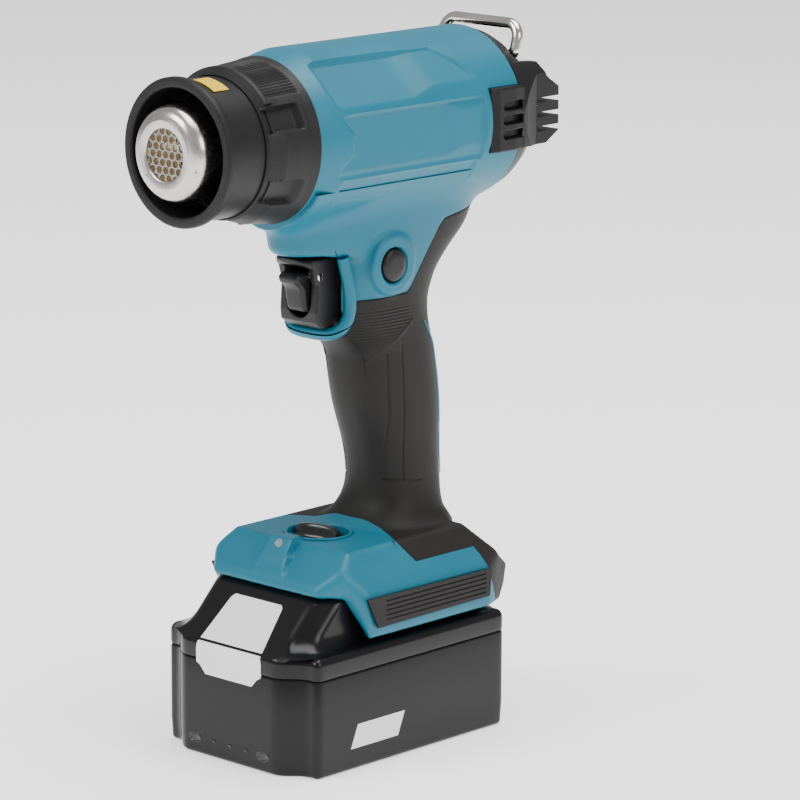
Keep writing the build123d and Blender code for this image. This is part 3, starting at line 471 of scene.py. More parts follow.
def barrel_radius(y, a):
    """Radius over (y, degrees from the top): a shoulder cone at the front, a flat sloping panel with a wall
    above it, a framed flat panel on the flank, a stepped lower edge, and seats for the side grilles. Each
    floor is the distance to a flat plane, d / cos(angle - its direction)."""
    turn = np.radians(a)
    side = rise(a, 60, 80) * (1 - rise(a, 100, 120))
    shoulder = -27.0 + 6 * side
    cone = np.clip((shoulder - y) / (shoulder - BARREL_FRONT), 0, 1) ** 1.15
    r = BARREL_R - 2.6 * cone

    floor = (28.5 + 1.3 * rise(y, 6, 22)) / np.cos(turn - np.radians(42))
    end = np.interp(a, [28, 66], [33, 50])
    lift = np.maximum(np.maximum(y - (end - 4.6), -29.0 - y), 0) * 0.75
    wall = np.maximum((29.5 - a) * 0.8, 0) + np.maximum((a - 66.5) * 0.5, 0)
    r = sunk_panel(r, floor, lift, wall, np.abs(a - 46) > 26, 0.2)

    flank = (28.7 + 0.8 * rise(y, 22, 34)) / np.maximum(np.cos(turn - np.pi / 2), 0.3)
    tab = np.interp(a, [66, 76, 84, 97, 104, 113], [-31, -26, -21.5, -21.5, -27, -31])
    lift = np.maximum(np.maximum(y - 42.5, tab - y), 0) * 0.85
    wall = np.maximum((71.5 - a) * 0.9, 0) + np.maximum((a - 111.0) * 0.35, 0)
    r = sunk_panel(r, np.minimum(flank, 30.2), lift, wall, np.abs(a - 90) > 30, 0.3)

    floor = 30.5 / np.cos(turn - np.radians(121))
    lift = np.maximum(np.maximum(y - 40.0, -26.0 - y), 0) * 0.4
    wall = np.maximum((115 - a) * 0.2, 0) + np.maximum((a - 129) * 0.18, 0)
    r = sunk_panel(r, floor, lift, wall, np.abs(a - 124) > 22, 0.3)

    z = BARREL_Z + r * np.cos(turn)
    seat = (y > BARREL_REAR - 16.4) & (z > BARREL_Z - 10.7) & (z < BARREL_Z + 12.1)
    r = np.where(seat, np.minimum(r, 28.2 / np.maximum(np.sin(turn), 0.2)), r)
    return r - 0.7 * rise(y, BARREL_REAR - 0.9, BARREL_REAR)


def drawn_in(ring, share):
    """A ring of points about the barrel's axis, drawn in to a share of its radius."""
    return ring * np.array([share, 1.0, share]) + np.array([0, 0, BARREL_Z * (1 - share)])


def barrel_shell():
    """The barrel's skin from its radius, with the front and rear edges turned in."""
    angle = np.radians(np.linspace(0, 360, 400, endpoint=False))
    y = np.concatenate([np.linspace(BARREL_FRONT, BARREL_FRONT + 3, 8)[:-1],
                        np.linspace(BARREL_FRONT + 3, BARREL_REAR, 190)])
    y, angle = np.meshgrid(y, angle, indexing="ij")
    r = barrel_radius(y, np.degrees(np.where(angle > np.pi, 2 * np.pi - angle, angle)))
    points = np.stack([r * np.sin(angle), y, BARREL_Z + r * np.cos(angle)], -1)
    points = np.concatenate([drawn_in(points[:1], LIP_R / 28.6), points, drawn_in(points[-1:], 0.93)])
    make_piece("barrel_shell", points, TEAL, "tool", wrap_columns=True,
               hides=("housing_left", "housing_right"))


def side_grilles():
    """Height x over (y, z): a block with a bevelled front and three round-bottomed grooves that run out
    rearwards. The groove's depth falls with the distance to its middle line."""
    z = np.linspace(209.8, 232.7, 116)
    y = np.linspace(46.6, 63.2, 84)
    y, z = np.meshgrid(y, z, indexing="ij")
    x = 31.9 - np.maximum(49.5 - y, 0) * 0.6 - 0.5 * rise(y, 57, 63)
    x = x - np.maximum(np.abs(z - 221.2) - 10.9, 0) * 0.7
    for middle in (226.0, 220.9, 215.7):
        reach = np.hypot(np.maximum(53.0 - y, 0), z - middle)
        x = x - 2.7 * (1 - rise(reach, 1.1, 1.75))
    for name, sense in (("left", 1), ("right", -1)):
        face = np.stack([sense * x, y, z], -1)
        deep = face.copy()
        deep[..., 0] = sense * 27.6
        rim = np.concatenate([deep[:1], face, deep[-1:]])
        edge = rim[:, :1].copy(), rim[:, -1:].copy()
        edge[0][..., 0] = edge[1][..., 0] = sense * 27.6
        points = np.concatenate([edge[0], rim, edge[1]], 1)
        make_piece("side_vent_" + name, points, BLACK, "tool",
                   hides=("side_grille_" + name,), sharp=35)


def snout():
    """The plain tube under the turning ring."""
    profile = rounded([(22.4, -34), (22.4, -57), (24.6, -57), (24.6, -34)], 0.4, closed=True)
    make_piece("snout", turned(profile), BLACK, "tool", True, True)


# --- grip, neck and foot ----------------------------------------------------------------------------------
# level, front, rear and half width of the grip's rounded-oval section
GRIP_SECTIONS = np.array([
    (74.5, 1.0, 49.0, 23.0), (77.5, 5.0, 45.5, 19.8), (82.5, 10.2, 44.4, 17.2), (89.5, 12.4, 44.4, 15.9),
    (96.5, 12.0, 43.9, 15.8), (104.5, 10.2, 43.8, 15.9), (112.5, 7.2, 44.0, 16.2), (120.5, 4.4, 44.0, 16.4),
    (128.5, 2.7, 43.0, 16.5), (140.3, 1.0, 40.5, 16.6), (146.8, -5.5, 39.0, 16.8), (151.3, -12.5, 38.5, 17.0),
    (158.3, -14.5, 38.4, 17.3), (167.3, -14.5, 42.0, 18.0), (175.3, -13.5, 49.6, 18.6),
    (181.3, -13.0, 57.0, 19.3), (187.3, -13.0, 60.5, 20.0), (199.3, -13.0, 61.5, 21.5)])
# level, half length and half width of the bridge's oval section
BRIDGE_SECTIONS = np.array([(176.0, 26.5, 14.6), (178.0, 28.8, 15.2), (180.7, 31.4, 15.8),
                            (187.3, 32.6, 16.3), (193.3, 34.6, 16.8), (203.3, 36.0, 17.0)])
BUTTON = (8.1, 173.0)


def oval(x, y, half_x, half_y, power):
    """Near-distance to a rounded oval (|x/a|^p + |y/b|^p)^(1/p) = 1."""
    share = (np.abs(x / half_x) ** power + np.abs(y / half_y) ** power) ** (1 / power)
    return (share - 1) * np.minimum(half_x, half_y)


def grip_field(x, y, z):
    level, front, rear, half = GRIP_SECTIONS.T
    front, rear, half = (along(z, level, v, 3.0) for v in (front, rear, half))
    return oval(x, y - (front + rear) / 2, half, (rear - front) / 2, 2.5)


def neck_field(x, y, z):
    """Grip, bow-shaped bridge and barrel run together, with the button's boss, less the trigger's pocket."""
    level, half_y, half_x = BRIDGE_SECTIONS.T
    bridge = oval(x, y, along(z, level, half_x, 1.0), along(z, level, half_y, 1.0), 2.0)
    bridge = soft_max(bridge, 177.9 - z, 1.5)
    body = soft_min(grip_field(x, y, z), bridge, 4.0)
    barrel = np.hypot(x, z - BARREL_Z) - BARREL_R + 0.25
    barrel = np.maximum(barrel, np.maximum(y - BARREL_REAR + 0.8, BARREL_FRONT + 1.5 - y))
    body = soft_min(body, barrel, 5.0)
    out = np.hypot(y - BUTTON[0], z - BUTTON[1])
    boss = soft_max(out - 10.4, np.abs(x) - 19.5, 1.4)
    boss = np.where(x > 0, boss, 9.0)
    body = soft_min(body, boss, 3.0)
    well = np.maximum(out - 6.5, 9.8 - x)
    body = np.maximum(body, -well)
    pocket = np.maximum(np.maximum(np.abs(x) - 10.5, y - 9.0), np.maximum(151.2 - z, z - 178.2))
    return soft_max(body, -pocket, 1.4)


def black_below(y):
    """Height of the line where the soft grip ends and the teal begins, along the tool's side."""
    along_y, height = np.array([
        (-25, 150.6), (-15, 151.3), (-11.2, 154.7), (-9.7, 157.3), (-8.2, 160.4), (-5.3, 161.5), (3.7, 161.5),
        (16.9, 162), (18.9, 163.9), (21.4, 167.8), (26.5, 176), (31.5, 184.2), (34.1, 186.7), (37.7, 187.3),
        (51.2, 188.5), (63, 192)]).T
    return np.interp(y, along_y, height)


# thin grooves and a slanting ridge on each side of the grip, as (y, z) lines
PALM_LINES = [[(3.4, 135.5), (4.5, 120.4), (7.7, 98.4), (8.9, 94.2), (13.4, 92.3), (27, 92.0)],
              [(9.4, 140.3), (11.7, 119.2), (13.6, 92.4)], [(15.5, 143.3), (17.6, 119.0), (19.0, 92.2)]]
PALM_RIDGE = [(3.2, 136.2), (6.0, 140.6), (20.8, 151.6)]


def line_distance(u, v, corners):
    """Distance from points (u, v) to an open line of straight runs."""
    best = np.full(np.shape(u), 1e9)
    for (au, av), (bu, bv) in zip(corners[:-1], corners[1:]):
        eu, ev = bu - au, bv - av
        t = np.clip(((u - au) * eu + (v - av) * ev) / (eu * eu + ev * ev), 0, 1)
        best = np.minimum(best, (u - au - t * eu) ** 2 + (v - av - t * ev) ** 2)
    return np.sqrt(best)


def palm_depth(points):
    """How far the grip's lines cut in: a bell-shaped groove, depth times exp(-(distance / width)^2), along each
    line and a raised one along the ridge, on the tool's sides only."""
    x, y, z = points[..., 0], points[..., 1], points[..., 2]
    depth = sum(0.42 * np.exp(-(line_distance(y, z, line) / 0.38) ** 2) for line in PALM_LINES)
    depth = depth - 0.3 * np.exp(-(line_distance(y, z, PALM_RIDGE) / 0.45) ** 2)
    return depth * (np.abs(x) > 9)


def side_strips(points, level):
    """Teal inlays up the grip's rear corners: part of the grip's own surface between two angles, a hair
    proud, the width going as the sine of the height's share so both ends taper."""
    rows = (level > 91) & (level < 150)
    z = level[rows]
    taper = np.sin(np.pi * (z - 91) / 59) ** 0.6
    for name, middle, sense in (("left", 47.0, 1), ("right", 133.0, -1)):
        across = np.transpose(points[rows], (1, 0, 2))
        first, last = middle - 3.6 * taper, middle + 3.6 * taper
        strip = rows_between(across, first, last, 14)
        raised = 0.28 * np.sin(np.pi * np.linspace(0, 1, 14))[:, None]
        strip[..., 0] += sense * (0.05 + raised)
        strip[..., 1] += 0.05 + raised
        make_piece("grip_strip_" + name, strip, TEAL, "tool")


def trigger_lip():
    """Rolled teal bead that runs down behind the trigger and forward under it: a round section on a line."""
    half = [(13.4, -11.6, 177.5), (14.2, -9.6, 168.5), (14.4, -8.8, 161.5), (14.2, -9.2, 156.4),
            (13.0, -11.2, 152.0), (9.6, -13.4, 149.8), (4.5, -14.4, 149.4)]
    path = rounded([(-x, y, z) for x, y, z in half] + [(0, -14.6, 149.4)] + half[::-1], 5.0, steps=7)
    make_piece("trigger_lip", tube(path, 2.25, 24), TEAL, "tool", False, False)


def neck_and_grip():
    """One surface cast outwards from an upright line, cut where the soft grip meets the teal: the grip is the
    rows below the cut and the neck those above, each with its edge turned in a little."""
    angle = np.linspace(0, 2 * np.pi, 360, endpoint=False)
    z = np.concatenate([np.linspace(78.0, 146, 170)[:-1], np.linspace(146, 204, 150)])
    z, angle = np.meshgrid(z, angle, indexing="ij")
    middle = np.interp(z, [78, 100, 140, 150, 204], [26, 28, 22, 12, 12])
    start = np.stack([0 * z, middle, z], -1)
    aim = np.stack([np.cos(angle), np.sin(angle), 0 * z], -1)
    points = cast(neck_field, start, aim, 1.0, 62.0)
    cut = first_crossing(points[..., 2] - black_below(points[..., 1]))
    side_strips(points, z[:, 0])
    out = np.hypot(*np.moveaxis(points[..., :2] - start[..., :2], -1, 0))[..., None]
    points = points - (points - start) / out * palm_depth(points)[..., None]
    grip = rows_between(points, 0 * cut, cut, 260)
    edge = grip[-1:].copy()
    centre = np.stack([0 * edge[..., 0], 12 + 0 * edge[..., 0], edge[..., 2]], -1)
    inward = centre - edge
    inward /= np.linalg.norm(inward, axis=-1)[..., None]
    grip[-2] += inward[0] * 0.12
    grip = np.concatenate([grip[:-1], edge + inward * 0.45, edge + inward * 1.6])
    make_piece("grip_sleeve", grip, GRIP, "tool", wrap_columns=True,
               hides=("grip_left", "grip_right"))
    neck = rows_between(points, cut, np.full_like(cut, len(points) - 1.0), 200)
    edge = neck[:1].copy()
    neck = np.concatenate([edge + inward * 1.6, edge + inward * 0.35, neck[1:]])
    make_piece("neck", neck, TEAL, "tool", wrap_columns=True)


# the foot's outlines from above (x, y), from the side (y, z) and from the front (x, z)
FOOT_PLAN = [(-38.3, -23), (-25.3, -38), (25.3, -38), (38.3, -23), (38.3, 40), (30.3, 58), (-30.3, 58),
             (-38.3, 40)]
FOOT_SIDE = [(-38, 61.2), (-38, 63.5), (-24, 76.5), (36, 76.5), (44, 68.5), (50, 62.8), (57.5, 57.8),
             (55, 50.8), (50, 45.8), (-21.5, 45.8), (-25.5, 53.8), (-28.6, 60.4)]
FOOT_FRONT = [(-38.3, 40), (-38.3, 61), (-33, 68.5), (-27.5, 76.5), (27.5, 76.5), (33, 68.5), (38.3, 61),
              (38.3, 40)]
DIAL = (0.0, -10.0)


def foot_field(x, y, z):
    """Where the plan, side and front outlines meet, edges rounded, with the lamp's pod and less the dial's
    well; the grip's root is run in with a wide fillet."""
    body = soft_max(outline_distance(x, y, FOOT_PLAN), outline_distance(y, z, FOOT_SIDE), 2.6)
    body = soft_max(body, outline_distance(x, z, FOOT_FRONT), 2.6)
    pod_top = (z - 77.6) * 0.92 + np.maximum(-y - 28.6, 0) * 1.3
    pod = soft_max(np.abs(x) - 5.6 + 0.25 * (y + 29), pod_top, 1.2)
    pod = soft_max(pod, np.maximum(-y - 35, y + 21.5), 1.2)
    body = soft_min(body, pod, 1.6)
    body = soft_min(body, grip_field(x, y, np.maximum(z, 74.5)), 3.0)
    well = np.hypot(x - DIAL[0], (y - DIAL[1]) * 1.06) - 11.6
    return soft_max(body, -np.maximum(well, 72.2 - z), 0.9)


def teal_here(x, y, z):
    """Positive where the foot is teal: ahead of an arc on its top, and below a ledge along its sides."""
    arc = np.interp(np.abs(x), [0, 8, 14, 20, 29.5, 38], [9.6, 9.1, 7.6, 4.6, -1.5, -7])
    ahead = arc + (FOOT_TOP - z) * 1.15 - y
    below = np.minimum(68.3 - z, 36 + (68.3 - z) * 0.42 - y)
    return np.maximum(ahead, below)


def foot():
    """Cast from a point inside, rows running down from the grip's root, cut where black turns to teal and
    at the rim."""
    angle = np.linspace(0, 2 * np.pi, 480, endpoint=False)
    down = np.radians(np.linspace(2, 112, 260))
    down, angle = np.meshgrid(down, angle, indexing="ij")
    start = np.zeros(down.shape + (3,)) + np.array([0.0, 21.0, 48.0])
    aim = np.stack([np.sin(down) * np.cos(angle), np.sin(down) * np.sin(angle), np.cos(down)], -1)
    points = cast(foot_field, start, aim, 3.0, 84.0)
    x, y, z = points[..., 0], points[..., 1], points[..., 2]
    rim = np.interp(y, [-38, -28.6, -25.5, -21.5, 50, 55, 57.5], [61.4, 60.5, 54.0, 46.0, 46.0, 51.0, 58.0])
    keep = first_crossing(np.where(down < 0.6, -1, rim - z))
    top = first_crossing(np.where(z > 80.0, -1.0, 80.0 - z))
    shade = np.where(np.arange(len(z))[:, None] < top, -1, teal_here(x, y, z))
    cut = np.clip(first_crossing(shade), top, keep)
    make_piece("foot_cover", rows_between(points, top, cut, 90), GRIP, "tool", wrap_columns=True)
    teal = rows_between(points, cut, keep, 130)
    lip = teal[-1:] * np.array([0.93, 0.95, 1.0])
    make_piece("foot_shell", np.concatenate([teal, lip]), TEAL, "tool", wrap_columns=True)


def bay_lining():
    """The battery's bay: one profile across the tool, rails and ceiling, carried along Y."""
    half = [(36.6, 61.0), (36.0, 47.0), (30.4, 46.3), (30.4, 50.9), (27.4, 50.9), (27.4, 54.3), (30.4, 54.3),
            (30.4, 60.9), (0.0, 60.9)]
    line = rounded([(-x, z) for x, z in half] + [(x, z) for x, z in half[-2::-1]], 0.3)
    y = np.array([-19.0, 44.0])
    points = np.stack([line[None, :, 0] + 0 * y[:, None], y[:, None] + 0 * line[None, :, 0],
                       line[None, :, 1] + 0 * y[:, None]], -1)
    make_piece("bay_lining", points, BLACK, "tool")


def small_fittings():
    """Rims round the dial's well and the lock-on button, rolled over like a moulding's edge."""
    rim = rounded([(11.2, 74.0), (11.35, 76.2), (11.9, 76.75), (12.6, 76.5), (12.6, 75.6)], 0.4)
    points = turned_up(rim, DIAL[0], DIAL[1], 120)
    points[..., 1] = DIAL[1] + (points[..., 1] - DIAL[1]) / 1.06
    make_piece("dial_rim", points, TEAL, "tool", True)
    collar = rounded([(6.35, 13.4), (6.35, 19.2), (6.9, 19.75), (7.8, 19.8), (8.6, 19.5), (8.8, 18.6)], 0.5)
    make_piece("button_collar", turned_across(collar, *BUTTON), TEAL, "tool", True)


# --- nose -------------------------------------------------------------------------------------------------
def turning_ring():
    """Radius over (y, angle): a front cone under a slightly tapered body, fine ribs on top, and sunk pads
    whose rear ends slope up."""
    a = np.linspace(0, 360, 540, endpoint=False)
    y = np.linspace(-60.5, -38.4, 84)
    y, a = np.meshgrid(y, a, indexing="ij")
    off = np.abs((a + 180) % 360 - 180)
    body = np.interp(y, [-60.5, -52, -47, -42, -38.4], [27.4, 27.7, 28.2, 28.6, 29.2])
    cone = 24.9 + (y + 60.5) * 0.95
    band = 25.4 + (y + 60.5) * 0.32
    r = soft_min(body, cone, 0.4)
    tooth = np.abs((off - 121 + 28.5) % 57 - 28.5)
    pad = (1 - rise(tooth, 9.0, 11.0)) * (off > 55)
    front = -57.5 + 4.0 * rise(tooth, 8.5, 13.0) * (off > 52)
    r = np.where(off > 52, soft_min(r, np.where(y < front, band, 60), 0.2), r)
    r = r - 2.2 * pad * rise(y, -60.2, -58.0) * (1 - rise(y, -47.0, -43.6))
    rib = 0.5 + 0.5 * np.cos(np.radians(off * 360 / 2.6))
    r = r - 0.42 * (1 - rib) * (off < 48) * rise(y, -56.5, -55.5) * (1 - rise(y, -42, -41))
    turn = np.radians(a)
    ring = np.stack([r * np.sin(turn), y, BARREL_Z + r * np.cos(turn)], -1)
    bore = np.stack([24.8 * np.sin(turn), y, BARREL_Z + 24.8 * np.cos(turn)], -1)[::-1][:: 83]
    make_piece("turning_ring", np.concatenate([ring, bore]), RING_BLACK, "ring", True, True,
               hides=("lock_ring",), sharp=28)


def heat_guard():
    profile = rounded([(22.1, -78.2), (22.7, -79), (25.3, -79), (25.9, -78.3), (25.9, -76.0), (24.9, -75.0),
                       (24.25, -74.2), (24.5, -57.8), (22.6, -57.8), (22.1, -60)], 0.45, closed=True)
    make_piece("heat_guard", turned(profile, 200), RING_BLACK, "guard", True, True,
               hides=("nose_cover",), sharp=50)


def nozzle():
    """Domed steel mouth and the tube behind it, with its thin inner wall."""
    outer = [(16.6, -20), (16.6, -79.5)]
    dome = [(16.6 - 4.6 * (1 - math.cos(t)), -79.5 - 5.3 * math.sin(t)) for t in np.linspace(0.1, 1.45, 12)]
    mouth = [(12.0, -85.0), (9.6, -84.75), (9.0, -84.4), (9.0, -83.9), (11.5, -83.9), (15.2, -79.5),
             (15.7, -20)]
    profile = rounded(outer + dome + mouth, 0.3, closed=True, steps=3)
    make_piece("nozzle", turned(profile, 180), STEEL, "tool", True, True,
               hides=("nozzle_tube",), sharp=50)


def honeycomb():
    """Six-sided cells on a six-way pitch: each is a ring between two hexagons, given thickness along Y."""
    pitch, wall = 3.1, 0.24
    row, column = np.meshgrid(np.arange(-4, 5), np.arange(-4, 5), indexing="ij")
    x = ((column + 0.5 * (row % 2)) * pitch).ravel()
    z = (row * pitch * math.sqrt(3) / 2).ravel()
    near = np.hypot(x, z) < 10.6
    x, z = x[near], z[near]
    turn = np.radians(np.arange(0, 360, 60) + 30)
    outer = pitch / math.sqrt(3)
    radius = np.array([outer, outer, outer - wall, outer - wall])
    depth = np.array([-83.1, -83.8, -83.8, -83.1])
    radius, depth = radius[:, None], depth[:, None]
    ring = np.stack([radius * np.sin(turn), depth + 0 * turn, radius * np.cos(turn)], -1)
    points = ring[None] + np.stack([x, 0 * x, BARREL_Z + z], -1)[:, None, None]
    index = np.arange(points.size // 3).reshape(len(x), 4, 6)
    index = np.concatenate([index, index[:, :1]], 1)
    index = np.concatenate([index, index[:, :, :1]], 2)
    quads = np.stack([index[:, :-1, :-1], index[:, :-1, 1:], index[:, 1:, 1:], index[:, 1:, :-1]], -1)
    make_mesh("honeycomb_screen", points.reshape(-1, 3), quads.reshape(-1, 4), STEEL, "tool",
              ("nozzle_mesh",), 30)


# --- trigger group ----------------------------------------------------------------------------------------
TRIGGER_SIDE = [(-25.0, 177.2), (-24.7, 175.4), (-21.2, 173.6), (-19.6, 168), (-20.3, 158), (-19.9, 154.3),
                (-17.2, 152.1), (-2, 152.1), (-2, 177.2)]


def trigger_field(x, y, z):
    """Side outline, width and a round front run together, less the lever's slot; 1.2 mm rounds every edge."""
    side = outline_distance(y, z, TRIGGER_SIDE) + 1.2
    width = np.abs(x) - 9.3 + 1.2
    front = np.hypot(x, y + 9.5) - 15.8 + 1.2
    body = soft_max(soft_max(side, width, 1.0), np.where(y < -8, front, -5), 1.5) - 1.2
    slot = np.hypot(x, np.maximum(161.3 - z, 0)) - 5.6
    slot = np.maximum(slot, np.maximum(z - 174.2, y + 13.5))
    return soft_max(body, -slot, 0.7)


def trigger():
    """Cast outwards from an upright line inside the trigger."""
    angle = np.linspace(0, 2 * np.pi, 260, endpoint=False)
    z = np.linspace(151.9, 177.3, 110)
    z, angle = np.meshgrid(z, angle, indexing="ij")
    start = np.stack([0 * z, -9.0 + 0 * z, z], -1)
    aim = np.stack([np.cos(angle), np.sin(angle), 0 * z], -1)
    points = cast(trigger_field, start, aim, 0.0, 26.0, 120)
    points = np.concatenate([start[:1], points, start[-1:]])
    make_piece("trigger_grip", points, TRIGGER_BLACK, "trigger_body", True,
               hides=("trigger",))


def lever():
    """Thumb-shaped rocker: a side outline with its rims rounded across its width."""
    side = [(-26.4, 170.9), (-25.9, 168.6), (-23.0, 166.6), (-22.4, 162.6), (-21.6, 158.4), (-18.6, 157.4),
            (-15.6, 160), (-14.8, 171.2), (-18.0, 172.6), (-24.5, 172.3)]
    points = slab(side, -4.7, 4.7, 1.6, 0, edge=1.7, steps=7)
    make_piece("thumb_lever", points, TRIGGER_BLACK, "lever_body", True,
               hides=("lock_off_lever",), sharp=60)


def lock_on_button():
    cap = rounded([(0, 20.9), (3.5, 20.85), (5.4, 20.3), (5.95, 19.3), (6.0, 13.6)], 0.8)
    make_piece("lock_on_button", turned_across(cap, *BUTTON), TRIGGER_BLACK, "lock_button_body",
               True, hides=("lock_button",), sharp=60)


# --- dial -------------------------------------------------------------------------------------------------
def dial_wheel():
    """A disc with a wave-shaped finger ridge: height is a bump across it, cut off at the disc's rim."""
    r = np.linspace(0, 9.6, 40)
    a = np.linspace(0, 2 * np.pi, 120, endpoint=False)
    r, a = np.meshgrid(r, a, indexing="ij")
    x, y = r * np.sin(a), r * np.cos(a)
    ridge = np.exp(-((y - 0.9 * np.sin(x / 3.6)) / 1.9) ** 4) * (1 - 0.3 * (np.abs(x) / 9.6) ** 3)
    z = 74.4 + 4.6 * ridge
    top = np.stack([DIAL[0] + x, DIAL[1] + y, z], -1)
    rim = np.stack([DIAL[0] + x[-1:], DIAL[1] + y[-1:], 0 * x[-1:] + 71.9], -1)
    hub = np.stack([0 * x[-1:] + DIAL[0], 0 * x[-1:] + DIAL[1], 0 * x[-1:] + 71.9], -1)
    make_piece("dial_wheel", np.concatenate([top, rim, hub]), DIAL_BLACK, "dial_body", True,
               hides=("dial",))


# --- battery ----------------------------------------------------------------------------------------------
def case_line():
    """The battery's plan as a rounded line with its outward directions: nose, bevels, cheeks and rear."""
    plan = [(-37.5, -48.75), (-31.2, -48.75), (-24, -55.25), (24, -55.25), (31.2, -48.75), (37.5, -48.75),
            (37.5, 48.75), (-37.5, 48.75)]
    line = rounded(plan, 3.2, closed=True, steps=9)
    return with_normals(line)


def with_normals(line):
    """Adds points so that no run is longer than 3 mm, and the outward direction at each point."""
    closed = np.concatenate([line, line[:1]])
    length = np.concatenate([[0], np.cumsum(np.linalg.norm(np.diff(closed, axis=0), axis=1))])
    extra = np.arange(0, length[-1], 3.0)
    at = np.unique(np.concatenate([length[:-1], extra]))
    line = np.stack([np.interp(at, length, closed[:, k]) for k in (0, 1)], 1)
    ahead = np.roll(line, -1, 0) - np.roll(line, 1, 0)
    normal = np.stack([ahead[:, 1], -ahead[:, 0]], 1) / np.linalg.norm(ahead, axis=1)[:, None]
    if ((line - line.mean(0)) * normal).sum() < 0:
        normal = -normal
    return line, normal


def stacked(line, normal, rows):
    """Rows of (height, inset) of one outline, one above the other; an inset of None closes to the middle."""
    out = []
    for z, inset in rows:
        p = line * 0.0 + line.mean(0) if inset is None else line - normal * inset
        out.append(np.column_stack([p, np.full(len(p), z)]))
    return np.array(out)


def quarter(z, inset, radius, upwards, steps=7):
    """Rows that turn a wall over into a flat: (z, inset) along a quarter of a circle."""
    t = np.linspace(0, np.pi / 2, steps)
    if upwards:
        return [(z - radius + radius * math.sin(k), inset + radius * (1 - math.cos(k))) for k in t]
    return [(z + radius - radius * math.cos(k), inset + radius * (1 - math.sin(k))) for k in t]


def battery_case():
    """Tray and shoulder as stacked outlines either side of the seam, with a dark groove between them."""
    line, normal = case_line()
    low = [(0.0, None)] + quarter(0.0, 0.4, 1.6, False) + [(4.0, 0.3), (8.5, 0.0), (34.6, 0.0), (35.3, 0.25),
                                                                      (35.4, 0.9), (35.4, 3.0)]
    make_piece("battery_tray", stacked(line, normal, low), BATTERY_BLACK, "battery", True,
               hides=("battery_lower_case",), sharp=32)
    high = [(35.6, 3.0), (35.6, 0.9), (35.7, 0.3), (36.4, 0.0), (39.0, 0.0)] + quarter(43.5, 0.0, 3.0, True)
    high += [(43.5, None)]
    make_piece("battery_shoulder", stacked(line, normal, high), BATTERY_BLACK, "battery",
               True, hides=("battery_upper_case",), sharp=32)


def tray_pockets():
    """Two oval screw pockets and three slots in the tray's lower front: shallow dishes with a raised rim."""
    a = np.linspace(0, 2 * np.pi, 40, endpoint=False)
    share = np.array([0, 0.78, 0.9, 1.05, 1.15, 1.25])[:, None]
    deep = np.array([-0.06, -0.06, -0.3, -0.3, -0.12, 0.5])[:, None]
    for name, x, half_x, half_z in (("pocket_left", 17, 2.7, 1.8), ("pocket_right", -17, 2.7, 1.8),
                                    ("slot_left", 8, 1.3, 0.7), ("slot_middle", 0, 1.3, 0.7),
                                    ("slot_right", -8, 1.3, 0.7)):
        z = 6.2 + half_z * share * np.sin(a)
        points = np.stack([x + half_x * share * np.cos(a), -55.1 + deep + 0 * a, z], -1)
        make_piece("tray_" + name, points, DIAL_BLACK, "battery", True)


def rail_block():
    """The block that slides into the foot: its plan flares into the shoulders below, and its front part leans
    back with height, y + lean(z) for the nose and less behind it."""
    plan = [(-30, -47), (-24, -55.25), (24, -55.25), (30, -47), (30, 43.75), (-30, 43.75)]
    line, normal = with_normals(rounded(plan, 2.6, closed=True, steps=9))
    flare = [(z, -5.0 * (1 - math.sin(math.acos(np.clip(1 - (z - 43.3) / 6.0, 0, 1)))))
             for z in np.linspace(43.3, 49.3, 9)]
    rows = [(40.0, 0.6), (41.5, 0.25)] + flare + [(52, 0.0), (56, 0.0)]
    rows += quarter(BLOCK_TOP, 0.0, 1.8, True) + [(BLOCK_TOP, None)]
    points = stacked(line, normal, rows)
    z, y = points[..., 2], points[..., 1]
    lean = np.clip(z - 41.5, 0, None) * 0.98
    share = rise(-y, -10, 46)
    points[..., 1] = y + lean * share
    ahead = (y < -30) & (z < 50)
    points[..., 1] = np.where(ahead, np.maximum(points[..., 1], -55.25 + lean), points[..., 1])
    make_piece("rail_block", points, BATTERY_BLACK, "battery", True, sharp=32)


def release_window():
    """White face of the release button: an outline across the nose, bent back over the slope above
    41.5 mm."""
    z = np.concatenate([np.linspace(30.5, 41.5, 24)[:-1], np.linspace(41.5, 57.0, 34)])
    half = np.interp(z, [30.5, 33.6, 34.2, 39.0, 41.5, 56.0, 57.0],
                     [11.5, 14.4, 16.0, 16.2, 15.6, 12.6, 11.4])
    t = np.linspace(-1, 1, 40)
    x = half[:, None] * t[None, :]
    face = -55.25 + np.clip(z - 41.5, 0, None) * 0.98 - 0.12
    front = np.stack([x, face[:, None] + 0 * x, z[:, None] + 0 * x], -1)
    rim = np.concatenate([front[:1], front, front[-1:]])
    rim = np.concatenate([rim[:, :1], rim, rim[:, -1:]], 1)
    rim[0, :, 1] += 1.5
    rim[-1, :, 1] += 1.5
    rim[:, 0, 1] += 1.5
    rim[:, -1, 1] += 1.5
    make_piece("release_face", rim, WHITE, "release_body", hides=("release_button",))


def flank_stripe():
    """Plain slanted stripe printed on the battery's left flank."""
    y, z = np.meshgrid(np.linspace(0, 1, 24), np.linspace(0, 1, 8))
    points = np.stack([37.56 + 0 * y, -32.0 + 24.0 * y + 3.5 * z, 8.0 + 8.5 * z], -1)
    make_piece("flank_stripe", points, PRINT, "battery")


